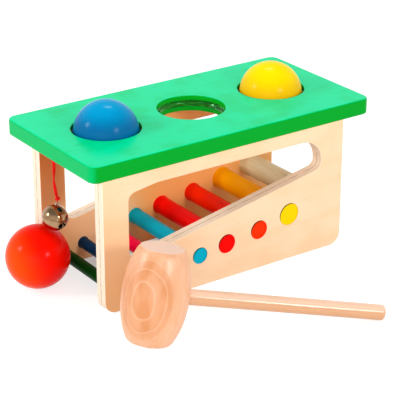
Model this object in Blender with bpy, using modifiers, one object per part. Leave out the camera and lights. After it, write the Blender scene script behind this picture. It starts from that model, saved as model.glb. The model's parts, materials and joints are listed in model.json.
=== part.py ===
"""Ball pounding bench: a wooden toy whose balls are knocked through elastic rings.

The balls drop onto sloping cross rods, roll down between two plywood panels and
pass under a small bell at the low end. A hammer and one ball lie beside the bench.

Metres, +Z up, +X along the bench towards its high end, +Y away from the hammer.
The set stands on Z = 0, and its origin is the middle of its footprint.
"""

import math

import bmesh
import bpy
from mathutils import Matrix, Vector

# Gaps between pieces that touch, slide or are glued in the real toy
SEAT_GAP = 0.0003
CUT_OVERRUN = 0.002
WELD_DISTANCE = 0.00001

# Balls, the loose one lying against the end of the back panel
BALL_DIAMETER = 0.050
RED_BALL_BEARING = math.radians(51.6)

# Top board
BOARD_LENGTH = 0.2562
BOARD_WIDTH = 0.1264
BOARD_THICKNESS = 0.0130
BENCH_HEIGHT = 0.1253
BOARD_CORNER_RADIUS = 0.0074
BOARD_EDGE_RADIUS = 0.0014
HOLE_PITCH_SHARE = 0.3012

# Elastic rings in the ball holes
HOLE_CLEARANCE = 0.0016
HOLE_EDGE_RADIUS = 0.0009
RING_THICKNESS = 0.0052
RING_CLEARANCE = 0.00013

# Plywood panels
PANEL_LENGTH = 0.224
PANEL_THICKNESS = 0.0115
PANEL_INSET = 0.01165
PANEL_SHIFT = -0.001
PANEL_FOOT_RADIUS = 0.010
PANEL_TOP_RADIUS = 0.002
PANEL_EDGE_RADIUS = 0.0008

# Panel window: corners along the panel's length, from its middle, up its height, and their radii
# as shares of the height too
WINDOW_CORNER_SHARES = (
    ("sloping sill, low end", -0.4018, 0.3262, 0.0700),
    ("sloping sill, high end", 0.4040, 0.6333, 0.0600),
    ("round nose", 0.4040, 0.8565, 0.1720),
    ("start of the slanting corner", -0.2902, 0.8565, 0.3000),
    ("top of the low end", -0.4018, 0.8219, 0.0600),
)

# Cross rods, whose thicker ends sit in the panels: place along the panel's length, height of the axis
# and thickness, as shares
ROD_DIAMETER = 0.0183
ROD_END_SHARE = 1.035
ROD_END_CHAMFER = 0.0002
ROD_END_RECESS = 0.0008
BLIND_DEPTH_SHARE = 0.65
ROD_SHARES = (
    ("rod_pale", 0.3884, 0.4018, 1.000, "blind"),
    ("rod_yellow", 0.2643, 0.3446, 0.945, "through"),
    ("rod_orange", 0.1326, 0.2928, 0.798, "through"),
    ("rod_red", -0.0054, 0.2598, 0.803, "through"),
    ("rod_teal", -0.1175, 0.2303, 0.680, "through"),
    ("rod_pink", -0.2366, 0.1937, 0.590, "through"),
    ("rod_navy", -0.3371, 0.1348, 0.503, "through"),
    ("rod_green", -0.4152, 0.0910, 0.525, "blind"),
)

# Glued dowel pins between the board and the panels
PIN_DIAMETER = 0.006
PIN_LENGTH = 0.0185
PIN_CHAMFER = 0.0006
PIN_PLACE_SHARES = (-0.38, 0.0, 0.38)
PIN_IN_BOARD_SHARE = 0.45

# Screw eye under the board, which carries the bell's cord
EYE_INSET = 0.0093
EYE_SIDE = 0.008
EYE_WIRE = 0.0012
EYE_RADIUS = 0.0019
EYE_SHANK_LENGTH = 0.008
EYE_SHANK_DIAMETER = 0.0016

# Bell
BELL_DIAMETER = 0.020
BELL_WALL = 0.0008
BELL_SEAM_WIDTH = 0.0011
BELL_SEAM_PROUD = 0.00025
BELL_SLOT_WIDTH = 0.0014
BELL_SLOT_HOLE = 0.0036
BELL_SLOT_HEIGHT_SHARE = 0.36
BELL_DIP = 0.0004
BELL_OFFSET = -0.0004
BELL_TILT = math.radians(13.0)
PELLET_DIAMETER = 0.005
LOOP_WIRE = 0.0009
LOOP_RADIUS = 0.0015
LOOP_HEIGHT = 0.0027
LOOP_FOOT = 0.0016

# Cord and its knot: how far the cord strays from a plumb line, from the eye down to the knot
CORD_DIAMETER = 0.0024
KNOT_WIDTH = 0.0044
KNOT_HEIGHT = 0.0038
CORD_STRAYS = (0.0, 0.00025, 0.0003, 0.0001, -0.0002, -0.0001, 0.0004, 0.0010, 0.0016)

# Hammer
HEAD_LENGTH = 0.0704
HEAD_END_DIAMETER = 0.0328
HEAD_BELLY_DIAMETER = 0.0490
HEAD_EDGE_RADIUS = 0.0010
HEAD_FULLNESS = 2.3
HANDLE_DIAMETER = 0.0117
HANDLE_REACH = 0.1734
HANDLE_END_RADIUS = 0.0022
HANDLE_CHAMFER = 0.0006
HANDLE_SOCKET_SHARE = 0.45
HAMMER_GAP = 0.01835
HAMMER_PLACE_SHARE = -0.4059
HAMMER_YAW = math.radians(-23.6)
HAMMER_ROLL = math.radians(8.0)

# Facets
HEAD_STEPS = 28
ROUND_STEPS = 24
ROD_STEPS = 16
SMALL_STEPS = 12
WIRE_STEPS = 8
CORNER_STEPS = 5
EDGE_STEPS = 2

# Sizes that follow from the ones above
BALL_RADIUS = BALL_DIAMETER / 2
BOARD_UNDERSIDE = BENCH_HEIGHT - BOARD_THICKNESS
BOARD_MIDDLE = BENCH_HEIGHT - BOARD_THICKNESS / 2
PANEL_HEIGHT = BOARD_UNDERSIDE - SEAT_GAP
PANEL_OUTER = BOARD_WIDTH / 2 - PANEL_INSET
PANEL_INNER = PANEL_OUTER - PANEL_THICKNESS
PANEL_MIDDLE = PANEL_OUTER - PANEL_THICKNESS / 2
HOLE_PITCH = BOARD_LENGTH * HOLE_PITCH_SHARE
HOLE_RADIUS = BALL_RADIUS + HOLE_CLEARANCE
RING_RADIUS = BALL_RADIUS + RING_CLEARANCE + RING_THICKNESS / 2
GROOVE_RADIUS = RING_THICKNESS / 2 + SEAT_GAP
BALL_SEAT = BOARD_MIDDLE + math.sqrt((BALL_RADIUS + GROOVE_RADIUS) ** 2 - RING_RADIUS**2)
RED_BALL_X = PANEL_SHIFT - PANEL_LENGTH / 2 - (BALL_RADIUS + SEAT_GAP) * math.cos(RED_BALL_BEARING)
RED_BALL_SIDE = PANEL_INNER - (BALL_RADIUS + SEAT_GAP) * math.sin(RED_BALL_BEARING)
EYE_X = EYE_INSET - BOARD_LENGTH / 2

# Colours, as they are seen, from 0 to 255
BOARD_GREEN = (22, 214, 122)
PLYWOOD = (244, 206, 164)
BEECH = (240, 186, 142)
CREAM = (226, 214, 190)
YELLOW = (255, 214, 0)
ORANGE = (240, 60, 10)
RED = (226, 8, 8)
BELL_RED = (214, 22, 22)
TEAL = (0, 168, 190)
PINK = (240, 20, 80)
NAVY = (0, 46, 96)
GREEN = (0, 110, 40)
BLUE = (0, 122, 200)
RED_BALL = (248, 46, 8)
CLEAR_RING = (150, 214, 190)
NICKEL = (196, 190, 180)


def linear(value):
    """A seen colour value, from 0 to 255, as the linear value that Blender stores."""
    share = value / 255
    return share / 12.92 if share <= 0.04045 else ((share + 0.055) / 1.055) ** 2.4


def material(name, colour, roughness, metallic=0.0, transmission=0.0):
    """A Principled material of one seen colour."""
    made = bpy.data.materials.new(name)
    made.use_nodes = True
    shader = made.node_tree.nodes["Principled BSDF"]
    shader.inputs["Base Color"].default_value = (*[linear(v) for v in colour], 1.0)
    shader.inputs["Roughness"].default_value = roughness
    shader.inputs["Metallic"].default_value = metallic
    shader.inputs["Transmission Weight"].default_value = transmission
    return made


def clear_scene():
    """Takes away whatever the scene holds."""
    for old in list(bpy.data.objects):
        bpy.data.objects.remove(old)


def new_collection(name, helper=False):
    """A collection under the scene, which a helper one keeps out of renders."""
    made = bpy.data.collections.new(name)
    made.hide_render = helper
    bpy.context.scene.collection.children.link(made)
    return made


def place(obj, parent, location=(0.0, 0.0, 0.0), rotation=(0.0, 0.0, 0.0)):
    """Puts an object in its parent's frame."""
    obj.parent = parent
    obj.location = location
    obj.rotation_euler = rotation
    return obj


def empty(name, parent, location=(0.0, 0.0, 0.0), rotation=(0.0, 0.0, 0.0)):
    """A named point that carries other objects."""
    made = bpy.data.objects.new(name, None)
    made.empty_display_size = BALL_RADIUS
    PARTS.objects.link(made)
    return place(made, parent, location, rotation)


def object_of(name, mesh, surface=None):
    """An object of the part, or a cutter where it has no surface."""
    made = bpy.data.objects.new(name, mesh)
    if surface is None:
        CUTTERS.objects.link(made)
        made.display_type = "WIRE"
        made.hide_render = True
    else:
        PARTS.objects.link(made)
        made.data.materials.append(surface)
    return made


def arc(centre, radius, start, end, steps):
    """Points on an arc, from the start angle to the end angle."""
    angles = [start + (end - start) * i / steps for i in range(steps + 1)]
    return [(centre[0] + radius * math.cos(a), centre[1] + radius * math.sin(a)) for a in angles]


def rounded_outline(corners):
    """A closed outline of (x, y, radius) corners, each rounded by an arc that touches its two sides."""
    points = []
    for index, (x, y, radius) in enumerate(corners):
        corner = Vector((x, y))
        before = (Vector(corners[index - 1][:2]) - corner).normalized()
        after = (Vector(corners[(index + 1) % len(corners)][:2]) - corner).normalized()
        half = before.angle(after) / 2
        reach = radius / math.tan(half)
        middle = corner + (before + after).normalized() * radius / math.sin(half)
        first = corner + before * reach - middle
        turn = first.angle_signed(corner + after * reach - middle)
        for step in range(CORNER_STEPS + 1):
            swing = Matrix.Rotation(-turn * step / CORNER_STEPS, 2)
            points.append(tuple(middle + swing @ first))
    return points


def plate(name, outlines, thickness, surface, edge_radius):
    """A flat plate in the XY plane, middle at Z = 0: the first outline is its rim, the others are windows."""
    curve = bpy.data.curves.new(name, "CURVE")
    curve.dimensions = "2D"
    curve.fill_mode = "BOTH"
    curve.extrude = thickness / 2
    for outline in outlines:
        spline = curve.splines.new("POLY")
        spline.points.add(len(outline) - 1)
        for point, (x, y) in zip(spline.points, outline):
            point.co = (x, y, 0.0, 1.0)
        spline.use_cyclic_u = True
    drawn = bpy.data.objects.new(name + "_outline", curve)
    bpy.context.scene.collection.objects.link(drawn)
    bpy.context.view_layer.update()
    evaluated = drawn.evaluated_get(bpy.context.evaluated_depsgraph_get())
    mesh = bpy.data.meshes.new_from_object(evaluated)
    bpy.data.objects.remove(drawn)
    shape = bmesh.new()
    shape.from_mesh(mesh)
    bmesh.ops.remove_doubles(shape, verts=shape.verts, dist=WELD_DISTANCE)
    bmesh.ops.recalc_face_normals(shape, faces=shape.faces)
    shape.to_mesh(mesh)
    shape.free()
    mesh.materials.clear()
    made = object_of(name, mesh, surface)
    rounding = made.modifiers.new("rounded edges", "BEVEL")
    rounding.width = edge_radius
    rounding.segments = EDGE_STEPS
    rounding.limit_method = "ANGLE"
    rounding.angle_limit = math.radians(50)
    return made


def turned(name, profile, steps, surface=None, closed=False):
    """A piece turned about Z from a profile of (radius, height) points, which runs down its outer side."""
    mesh = bpy.data.meshes.new(name)
    links = [(i, i + 1) for i in range(len(profile) - 1)]
    if closed:
        links.append((len(profile) - 1, 0))
    mesh.from_pydata([(r, 0.0, z) for r, z in profile], links, [])
    made = object_of(name, mesh, surface)
    lathe = made.modifiers.new("turning", "SCREW")
    lathe.steps = steps
    lathe.render_steps = steps
    lathe.use_merge_vertices = True
    lathe.merge_threshold = WELD_DISTANCE
    lathe.use_smooth_shade = True
    return made


def round_section(distance, radius, steps):
    """The round section of a ring, as (radius, height) points that run down its outer side."""
    turn = 2 * math.pi / steps
    return [(distance + radius * math.sin(turn * i), radius * math.cos(turn * i)) for i in range(steps)]


def sphere(name, radius, segments, surface=None):
    """A ball about the object's origin."""
    mesh = bpy.data.meshes.new(name)
    shape = bmesh.new()
    bmesh.ops.create_uvsphere(shape, u_segments=segments, v_segments=segments // 2, radius=radius)
    shape.to_mesh(mesh)
    shape.free()
    mesh.shade_smooth()
    return object_of(name, mesh, surface)


def box(name, size, surface=None):
    """A box about the object's origin."""
    mesh = bpy.data.meshes.new(name)
    shape = bmesh.new()
    bmesh.ops.create_cube(shape, size=1, matrix=Matrix.Diagonal((*size, 1)))
    shape.to_mesh(mesh)
    shape.free()
    return object_of(name, mesh, surface)


def tube(name, points, diameter, surface):
    """A round wire or cord along the given points, with closed ends."""
    curve = bpy.data.curves.new(name, "CURVE")
    curve.dimensions = "3D"
    curve.bevel_depth = diameter / 2
    curve.bevel_resolution = EDGE_STEPS
    curve.use_fill_caps = True
    spline = curve.splines.new("POLY")
    spline.points.add(len(points) - 1)
    for point, place_on_route in zip(spline.points, points):
        point.co = (*place_on_route, 1.0)
    made = bpy.data.objects.new(name, curve)
    PARTS.objects.link(made)
    curve.materials.append(surface)
    return made


def cut(obj, cutter, operation="DIFFERENCE"):
    """Cuts, or joins, one object with another."""
    made = obj.modifiers.new(cutter.name, "BOOLEAN")
    made.operation = operation
    made.object = cutter
    made.solver = "EXACT"


def bore(obj, name, radius, depth, parent, location, rotation=(0.0, 0.0, 0.0), steps=ROD_STEPS):
    """Drills a round hole whose mouth is at the location and which goes down the turned -Z."""
    drill = turned(
        name,
        [(0.0, CUT_OVERRUN), (radius, CUT_OVERRUN), (radius, -depth), (0.0, -depth)],
        steps,
    )
    place(drill, parent, location, rotation)
    cut(obj, drill)


def cylinder_profile(radius, low, high, chamfer):
    """The profile of a plain rod with chamfered ends, from its top to its bottom."""
    return [
        (0.0, high),
        (radius - chamfer, high),
        (radius, high - chamfer),
        (radius, low + chamfer),
        (radius - chamfer, low),
        (0.0, low),
    ]


def pin_places():
    """The name, X and side of each dowel pin."""
    places = []
    for side_name, side in (("front", -1), ("back", 1)):
        for number, share in enumerate(PIN_PLACE_SHARES, 1):
            places.append((f"{side_name}_pin_{number}", share * PANEL_LENGTH + PANEL_SHIFT, side))
    return places


def ball_hole_profile():
    """The outline of a ball hole: rounded at both faces, with the round groove that holds the ring."""
    half = BOARD_THICKNESS / 2
    spread = math.acos((RING_RADIUS - HOLE_RADIUS) / GROOVE_RADIUS)
    lip = HOLE_RADIUS + HOLE_EDGE_RADIUS
    top_edge = arc((lip, half - HOLE_EDGE_RADIUS), HOLE_EDGE_RADIUS, math.pi / 2, math.pi, EDGE_STEPS)
    groove = arc((RING_RADIUS, 0.0), GROOVE_RADIUS, math.pi - spread, spread - math.pi, CORNER_STEPS + 1)
    bottom_edge = [(r, -z) for r, z in reversed(top_edge)]
    return [
        (0.0, half + CUT_OVERRUN),
        (lip, half + CUT_OVERRUN),
        *top_edge,
        *groove,
        *bottom_edge,
        (lip, -half - CUT_OVERRUN),
        (0.0, -half - CUT_OVERRUN),
    ]


def make_board(root):
    """The top board, with its three grooved ball holes and the blind holes under it."""
    x, y, radius = BOARD_LENGTH / 2, BOARD_WIDTH / 2, BOARD_CORNER_RADIUS
    rim = rounded_outline([(-x, -y, radius), (x, -y, radius), (x, y, radius), (-x, y, radius)])
    board = plate("top_board", [rim], BOARD_THICKNESS, FINISH["board"], BOARD_EDGE_RADIUS)
    place(board, root, (0.0, 0.0, BOARD_MIDDLE))
    for name, step in (("left", -1), ("middle", 0), ("right", 1)):
        hole = turned(f"{name}_ball_hole", ball_hole_profile(), ROUND_STEPS)
        place(hole, root, (step * HOLE_PITCH, 0.0, BOARD_MIDDLE))
        cut(board, hole)
    pin_depth = PIN_LENGTH * PIN_IN_BOARD_SHARE + SEAT_GAP
    for name, along, side in pin_places():
        bore(
            board,
            f"board_hole_of_{name}",
            PIN_DIAMETER / 2 + SEAT_GAP,
            pin_depth,
            root,
            (along, side * PANEL_MIDDLE, BOARD_UNDERSIDE),
            (math.pi, 0.0, 0.0),
            SMALL_STEPS,
        )
    bore(
        board,
        "board_hole_of_eye",
        EYE_SHANK_DIAMETER / 2 + SEAT_GAP,
        EYE_SHANK_LENGTH + SEAT_GAP,
        root,
        (EYE_X, EYE_SIDE, BOARD_UNDERSIDE),
        (math.pi, 0.0, 0.0),
        SMALL_STEPS,
    )


def make_rings(root):
    """The three clear elastic rings, each in the groove of its hole."""
    for name, step in (("left", -1), ("middle", 0), ("right", 1)):
        section = round_section(RING_RADIUS, RING_THICKNESS / 2, SMALL_STEPS)
        ring = turned(f"{name}_ring", section, ROUND_STEPS, FINISH["ring"], closed=True)
        place(ring, root, (step * HOLE_PITCH, 0.0, BOARD_MIDDLE))


def rod_sizes(shares):
    """A cross rod's place along X, the height of its axis, its radius and how deep its ends go."""
    name, along_share, height_share, thickness_share, fixing = shares
    depth = PANEL_THICKNESS - ROD_END_RECESS
    if fixing == "blind":
        depth = PANEL_THICKNESS * BLIND_DEPTH_SHARE
    along = along_share * PANEL_LENGTH + PANEL_SHIFT
    return name, along, height_share * PANEL_HEIGHT, thickness_share * ROD_DIAMETER / 2, depth, fixing


def make_panel(root, name, side):
    """A plywood side panel, with its window, the holes of the rods and those of the pins."""
    half = PANEL_LENGTH / 2
    foot, top = PANEL_FOOT_RADIUS, PANEL_TOP_RADIUS
    rim = rounded_outline(
        [(-half, 0.0, foot), (half, 0.0, foot), (half, PANEL_HEIGHT, top), (-half, PANEL_HEIGHT, top)]
    )
    window = rounded_outline(
        [
            (along_share * PANEL_LENGTH, height_share * PANEL_HEIGHT, radius_share * PANEL_HEIGHT)
            for _, along_share, height_share, radius_share in WINDOW_CORNER_SHARES
        ]
    )
    panel = plate(name, [rim, window], PANEL_THICKNESS, FINISH["plywood"], PANEL_EDGE_RADIUS)
    place(panel, root, (PANEL_SHIFT, side * PANEL_MIDDLE, 0.0), (math.pi / 2, 0.0, 0.0))
    for shares in ROD_SHARES:
        rod, along, height, radius, depth, fixing = rod_sizes(shares)
        reach = PANEL_THICKNESS + CUT_OVERRUN if fixing == "through" else depth + SEAT_GAP
        bore(
            panel,
            f"{name}_hole_of_{rod}",
            radius * ROD_END_SHARE + SEAT_GAP,
            reach,
            root,
            (along, side * PANEL_INNER, height),
            (side * math.pi / 2, 0.0, 0.0),
        )
    pin_depth = PIN_LENGTH * (1 - PIN_IN_BOARD_SHARE) + SEAT_GAP
    for pin, along, pin_side in pin_places():
        if pin_side == side:
            bore(
                panel,
                f"panel_hole_of_{pin}",
                PIN_DIAMETER / 2 + SEAT_GAP,
                pin_depth,
                root,
                (along, side * PANEL_MIDDLE, PANEL_HEIGHT),
                steps=SMALL_STEPS,
            )


def make_rods(root):
    """The cross rods, turned with a thicker end that fills its hole in each panel."""
    for shares in ROD_SHARES:
        name, along, height, radius, depth, _ = rod_sizes(shares)
        end = PANEL_INNER + depth
        thick = radius * ROD_END_SHARE
        upper = [
            (0.0, end),
            (thick - ROD_END_CHAMFER, end),
            (thick, end - ROD_END_CHAMFER),
            (thick, PANEL_INNER),
            (radius, PANEL_INNER),
        ]
        rod = turned(name, upper + [(r, -z) for r, z in reversed(upper)], ROD_STEPS, FINISH[name])
        place(rod, root, (along, 0.0, height), (math.pi / 2, 0.0, 0.0))


def make_pins(root):
    """The dowel pins that hold the board on the panels."""
    low = -PIN_LENGTH * (1 - PIN_IN_BOARD_SHARE)
    high = PIN_LENGTH * PIN_IN_BOARD_SHARE
    for name, along, side in pin_places():
        pin = turned(
            name,
            cylinder_profile(PIN_DIAMETER / 2, low, high, PIN_CHAMFER),
            SMALL_STEPS,
            FINISH["beech"],
        )
        place(pin, root, (along, side * PANEL_MIDDLE, BOARD_UNDERSIDE))


def make_balls(root):
    """Two balls sitting in their rings, and a third on the floor at the low end."""
    for name, step in (("blue_ball", -1), ("yellow_ball", 1)):
        ball = sphere(name, BALL_RADIUS, ROUND_STEPS, FINISH[name])
        place(ball, root, (step * HOLE_PITCH, 0.0, BALL_SEAT))
    ball = sphere("red_ball", BALL_RADIUS, ROUND_STEPS, FINISH["red_ball"])
    place(ball, root, (RED_BALL_X, RED_BALL_SIDE, BALL_RADIUS))


def make_screw_eye(root):
    """The screw eye in the board's underside: a ring with a shank, joined into one."""
    drop = EYE_RADIUS + EYE_WIRE / 2 + SEAT_GAP
    section = round_section(EYE_RADIUS, EYE_WIRE / 2, WIRE_STEPS)
    eye = turned("screw_eye", section, SMALL_STEPS, FINISH["steel"], closed=True)
    place(eye, root, (EYE_X, EYE_SIDE, BOARD_UNDERSIDE - drop), (math.pi / 2, 0.0, 0.0))
    shank = turned(
        "screw_eye_shank",
        cylinder_profile(
            EYE_SHANK_DIAMETER / 2, -SEAT_GAP - EYE_WIRE / 2, EYE_SHANK_LENGTH, EYE_SHANK_DIAMETER / 4
        ),
        WIRE_STEPS,
    )
    place(shank, root, (EYE_X, EYE_SIDE, BOARD_UNDERSIDE))
    cut(eye, shank, "UNION")
    return BOARD_UNDERSIDE - drop


def make_bell(pivot):
    """The bell under its pivot: a hollow shell with a seam and a slot, its wire loop and its pellet."""
    radius = BELL_DIAMETER / 2
    drop = LOOP_HEIGHT - LOOP_WIRE + radius
    shell_place = (0.0, 0.0, -drop)
    half_seam = BELL_SEAM_WIDTH / 2
    rise = math.asin(half_seam / radius)
    dome = arc((0.0, 0.0), radius, math.pi / 2, rise, CORNER_STEPS + 2)
    lip = (radius + BELL_SEAM_PROUD, half_seam * (1 - BELL_SEAM_PROUD / BELL_WALL))
    profile = dome + [lip, (lip[0], -lip[1])] + [(r, -z) for r, z in reversed(dome)]
    profile[0] = (0.0, radius)
    profile[-1] = (0.0, -radius)
    shell = turned("bell_shell", profile, ROD_STEPS, FINISH["nickel"])
    place(shell, pivot, shell_place)
    hollow = place(sphere("bell_hollow", radius - BELL_WALL, ROD_STEPS), pivot, shell_place)
    cut(shell, hollow)
    slot_height = radius * BELL_SLOT_HEIGHT_SHARE
    slot = box("bell_slot", (BELL_SLOT_WIDTH, BELL_DIAMETER + CUT_OVERRUN, radius))
    place(slot, pivot, (0.0, 0.0, -drop - slot_height - radius / 2))
    cut(shell, slot)
    bore(
        shell,
        "bell_slot_holes",
        BELL_SLOT_HOLE / 2,
        BELL_DIAMETER + CUT_OVERRUN,
        pivot,
        (0.0, -radius, -drop - slot_height),
        (math.pi / 2, 0.0, 0.0),
        SMALL_STEPS,
    )
    foot = LOOP_HEIGHT + LOOP_FOOT - LOOP_WIRE
    for name, side in (("left", -1), ("right", 1)):
        bore(
            shell,
            f"bell_hole_of_{name}_leg",
            LOOP_WIRE / 2 + SEAT_GAP,
            foot,
            pivot,
            (side * LOOP_RADIUS, 0.0, LOOP_WIRE - LOOP_HEIGHT + SEAT_GAP),
            steps=WIRE_STEPS,
        )
    crown = arc((0.0, -LOOP_RADIUS + LOOP_WIRE / 2), LOOP_RADIUS, math.pi, 0.0, 2 * CORNER_STEPS)
    route = [(-LOOP_RADIUS, 0.0, -foot)]
    route += [(x, 0.0, z) for x, z in crown]
    route += [(LOOP_RADIUS, 0.0, -foot)]
    place(tube("bell_loop", route, LOOP_WIRE, FINISH["nickel"]), pivot)
    pellet = sphere("bell_pellet", PELLET_DIAMETER / 2, SMALL_STEPS, FINISH["steel"])
    rest = radius - BELL_WALL - PELLET_DIAMETER / 2 - SEAT_GAP * 2
    place(pellet, pivot, (0.0, 0.0, -drop - rest))


def make_cord(pivot, drop, knot_x):
    """The doubled cord from the screw eye down to the knot, and the knot."""
    top = -EYE_RADIUS - EYE_WIRE / 2 - SEAT_GAP
    knot_middle = -drop + LOOP_WIRE + SEAT_GAP + KNOT_HEIGHT / 2
    bottom = knot_middle + KNOT_HEIGHT / 2 + SEAT_GAP
    last = len(CORD_STRAYS) - 1
    route = [(stray, 0.0, top + (bottom - top) * i / last) for i, stray in enumerate(CORD_STRAYS)]
    place(tube("bell_cord", route, CORD_DIAMETER, FINISH["cord"]), pivot)
    knot = sphere("cord_knot", KNOT_WIDTH / 2, SMALL_STEPS, FINISH["cord"])
    for vertex in knot.data.vertices:
        vertex.co.z *= KNOT_HEIGHT / KNOT_WIDTH
    place(knot, pivot, (knot_x, 0.0, knot_middle))


def make_hanging_bell(root):
    """What hangs from the screw eye: cord, knot and bell, low enough for a passing ball to ring it."""
    eye_middle = make_screw_eye(root)
    bell_height = BALL_DIAMETER - BELL_DIP + BELL_DIAMETER / 2
    arm = LOOP_HEIGHT - LOOP_WIRE + BELL_DIAMETER / 2
    pivot_x = BELL_OFFSET + arm * math.sin(BELL_TILT)
    drop = eye_middle - bell_height - arm * math.cos(BELL_TILT)
    cord_pivot = empty("cord_pivot", root, (EYE_X, EYE_SIDE, eye_middle))
    make_cord(cord_pivot, drop, pivot_x)
    bell_pivot = empty("bell_pivot", cord_pivot, (pivot_x, 0.0, -drop), (0.0, BELL_TILT, 0.0))
    make_bell(bell_pivot)


def hammer_pitch():
    """The slope of the handle when the head's lower rim and the handle's end both touch the floor."""
    low, high = 0.0, math.pi / 4
    for _ in range(40):
        pitch = (low + high) / 2
        upright = math.cos(HAMMER_ROLL) * math.cos(pitch)
        head = HEAD_LENGTH / 2 * upright + HEAD_END_DIAMETER / 2 * math.sqrt(1 - upright**2)
        handle = HANDLE_REACH * math.sin(pitch) + HANDLE_DIAMETER / 2 * math.cos(pitch)
        low, high = (pitch, high) if head > handle else (low, pitch)
    return pitch


def lowest_point(objects):
    """The lowest Z of some objects, in world space."""
    bpy.context.view_layer.update()
    graph = bpy.context.evaluated_depsgraph_get()
    lowest = math.inf
    for obj in objects:
        evaluated = obj.evaluated_get(graph)
        for vertex in evaluated.data.vertices:
            lowest = min(lowest, (evaluated.matrix_world @ vertex.co).z)
    return lowest


def make_hammer(root):
    """The loose hammer in front of the bench, resting on the rim of its head and the end of its handle."""
    belly = HEAD_BELLY_DIAMETER / 2
    end = HEAD_END_DIAMETER / 2
    half = HEAD_LENGTH / 2
    place_y = -(BOARD_WIDTH / 2 + HAMMER_GAP + belly)
    pivot = empty("hammer_pivot", root, (BOARD_LENGTH * HAMMER_PLACE_SHARE, place_y, half))
    pivot.rotation_mode = "QUATERNION"
    turn = Matrix.Rotation(HAMMER_YAW, 3, "Z") @ Matrix.Rotation(hammer_pitch(), 3, "Y")
    turn = turn @ Matrix.Rotation(-HAMMER_ROLL, 3, "X")
    pivot.rotation_quaternion = turn.to_quaternion()
    heights = [half * (1 - 2 * i / (2 * CORNER_STEPS)) for i in range(1, 2 * CORNER_STEPS)]
    side = [(end + (belly - end) * (1 - abs(z / half) ** HEAD_FULLNESS), z) for z in heights]
    rim = arc((end - HEAD_EDGE_RADIUS, half - HEAD_EDGE_RADIUS), HEAD_EDGE_RADIUS, math.pi / 2, 0.0, EDGE_STEPS)
    profile = [(0.0, half), *rim, *side, *[(r, -z) for r, z in reversed(rim)], (0.0, -half)]
    head = place(turned("hammer_head", profile, HEAD_STEPS, FINISH["beech"]), pivot)
    socket = belly * HANDLE_SOCKET_SHARE
    bore(
        head,
        "handle_socket",
        HANDLE_DIAMETER / 2 + SEAT_GAP,
        belly + socket,
        pivot,
        (belly, 0.0, 0.0),
        (0.0, math.pi / 2, 0.0),
        ROUND_STEPS,
    )
    handle_end = arc(
        (HANDLE_DIAMETER / 2 - HANDLE_END_RADIUS, HANDLE_REACH - HANDLE_END_RADIUS),
        HANDLE_END_RADIUS,
        math.pi / 2,
        0.0,
        EDGE_STEPS + 1,
    )
    inner_end = -socket + SEAT_GAP
    handle_profile = [
        (0.0, HANDLE_REACH),
        *handle_end,
        (HANDLE_DIAMETER / 2, inner_end + HANDLE_CHAMFER),
        (HANDLE_DIAMETER / 2 - HANDLE_CHAMFER, inner_end),
        (0.0, inner_end),
    ]
    handle = turned("hammer_handle", handle_profile, ROUND_STEPS, FINISH["beech"])
    place(handle, pivot, rotation=(0.0, math.pi / 2, 0.0))
    pivot.location.z -= lowest_point([head, handle])


def centre_on_footprint(root):
    """Moves the set so that its origin is the middle of its footprint, at floor level."""
    bpy.context.view_layer.update()
    graph = bpy.context.evaluated_depsgraph_get()
    corners = []
    for obj in PARTS.objects:
        if obj.type == "MESH":
            evaluated = obj.evaluated_get(graph)
            corners += [evaluated.matrix_world @ vertex.co for vertex in evaluated.data.vertices]
    for axis in (0, 1):
        values = [corner[axis] for corner in corners]
        root.location[axis] -= (min(values) + max(values)) / 2
    bpy.context.view_layer.update()


clear_scene()
PARTS = new_collection("ball_pounding_bench")
CUTTERS = new_collection("cutters", helper=True)

FINISH = {
    "board": material("green lacquer", BOARD_GREEN, 0.35),
    "plywood": material("birch plywood", PLYWOOD, 0.5),
    "beech": material("beech", BEECH, 0.4),
    "ring": material("clear elastic", CLEAR_RING, 0.1, transmission=0.7),
    "steel": material("zinc-plated steel", NICKEL, 0.3, metallic=1.0),
    "nickel": material("nickel", NICKEL, 0.15, metallic=1.0),
    "cord": material("red cord", BELL_RED, 0.8),
    "blue_ball": material("blue lacquer", BLUE, 0.25),
    "yellow_ball": material("yellow lacquer", YELLOW, 0.25),
    "red_ball": material("red lacquer", RED_BALL, 0.25),
    "rod_pale": material("bare wood", CREAM, 0.5),
    "rod_yellow": material("yellow rod paint", YELLOW, 0.3),
    "rod_orange": material("orange rod paint", ORANGE, 0.3),
    "rod_red": material("red rod paint", RED, 0.3),
    "rod_teal": material("teal rod paint", TEAL, 0.3),
    "rod_pink": material("pink rod paint", PINK, 0.3),
    "rod_navy": material("navy rod paint", NAVY, 0.3),
    "rod_green": material("green rod paint", GREEN, 0.3),
}

bench = empty("bench_root", None)
make_board(bench)
make_rings(bench)
make_panel(bench, "front_panel", -1)
make_panel(bench, "back_panel", 1)
make_rods(bench)
make_pins(bench)
make_balls(bench)
make_hanging_bell(bench)
make_hammer(bench)
centre_on_footprint(bench)
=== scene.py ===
"""The looks of a ball pounding bench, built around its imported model.

Metres, +Z up, +X towards the bench's high end, +Y away from the hammer.
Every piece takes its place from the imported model, and its finer sizes from its own class.
"""

import json
import logging
import math
from collections.abc import Callable, Iterator, Sequence
from contextlib import contextmanager
from dataclasses import dataclass
from enum import Enum
from typing import Any

import bmesh
import bpy
from mathutils import Euler, Matrix, Vector

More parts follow.
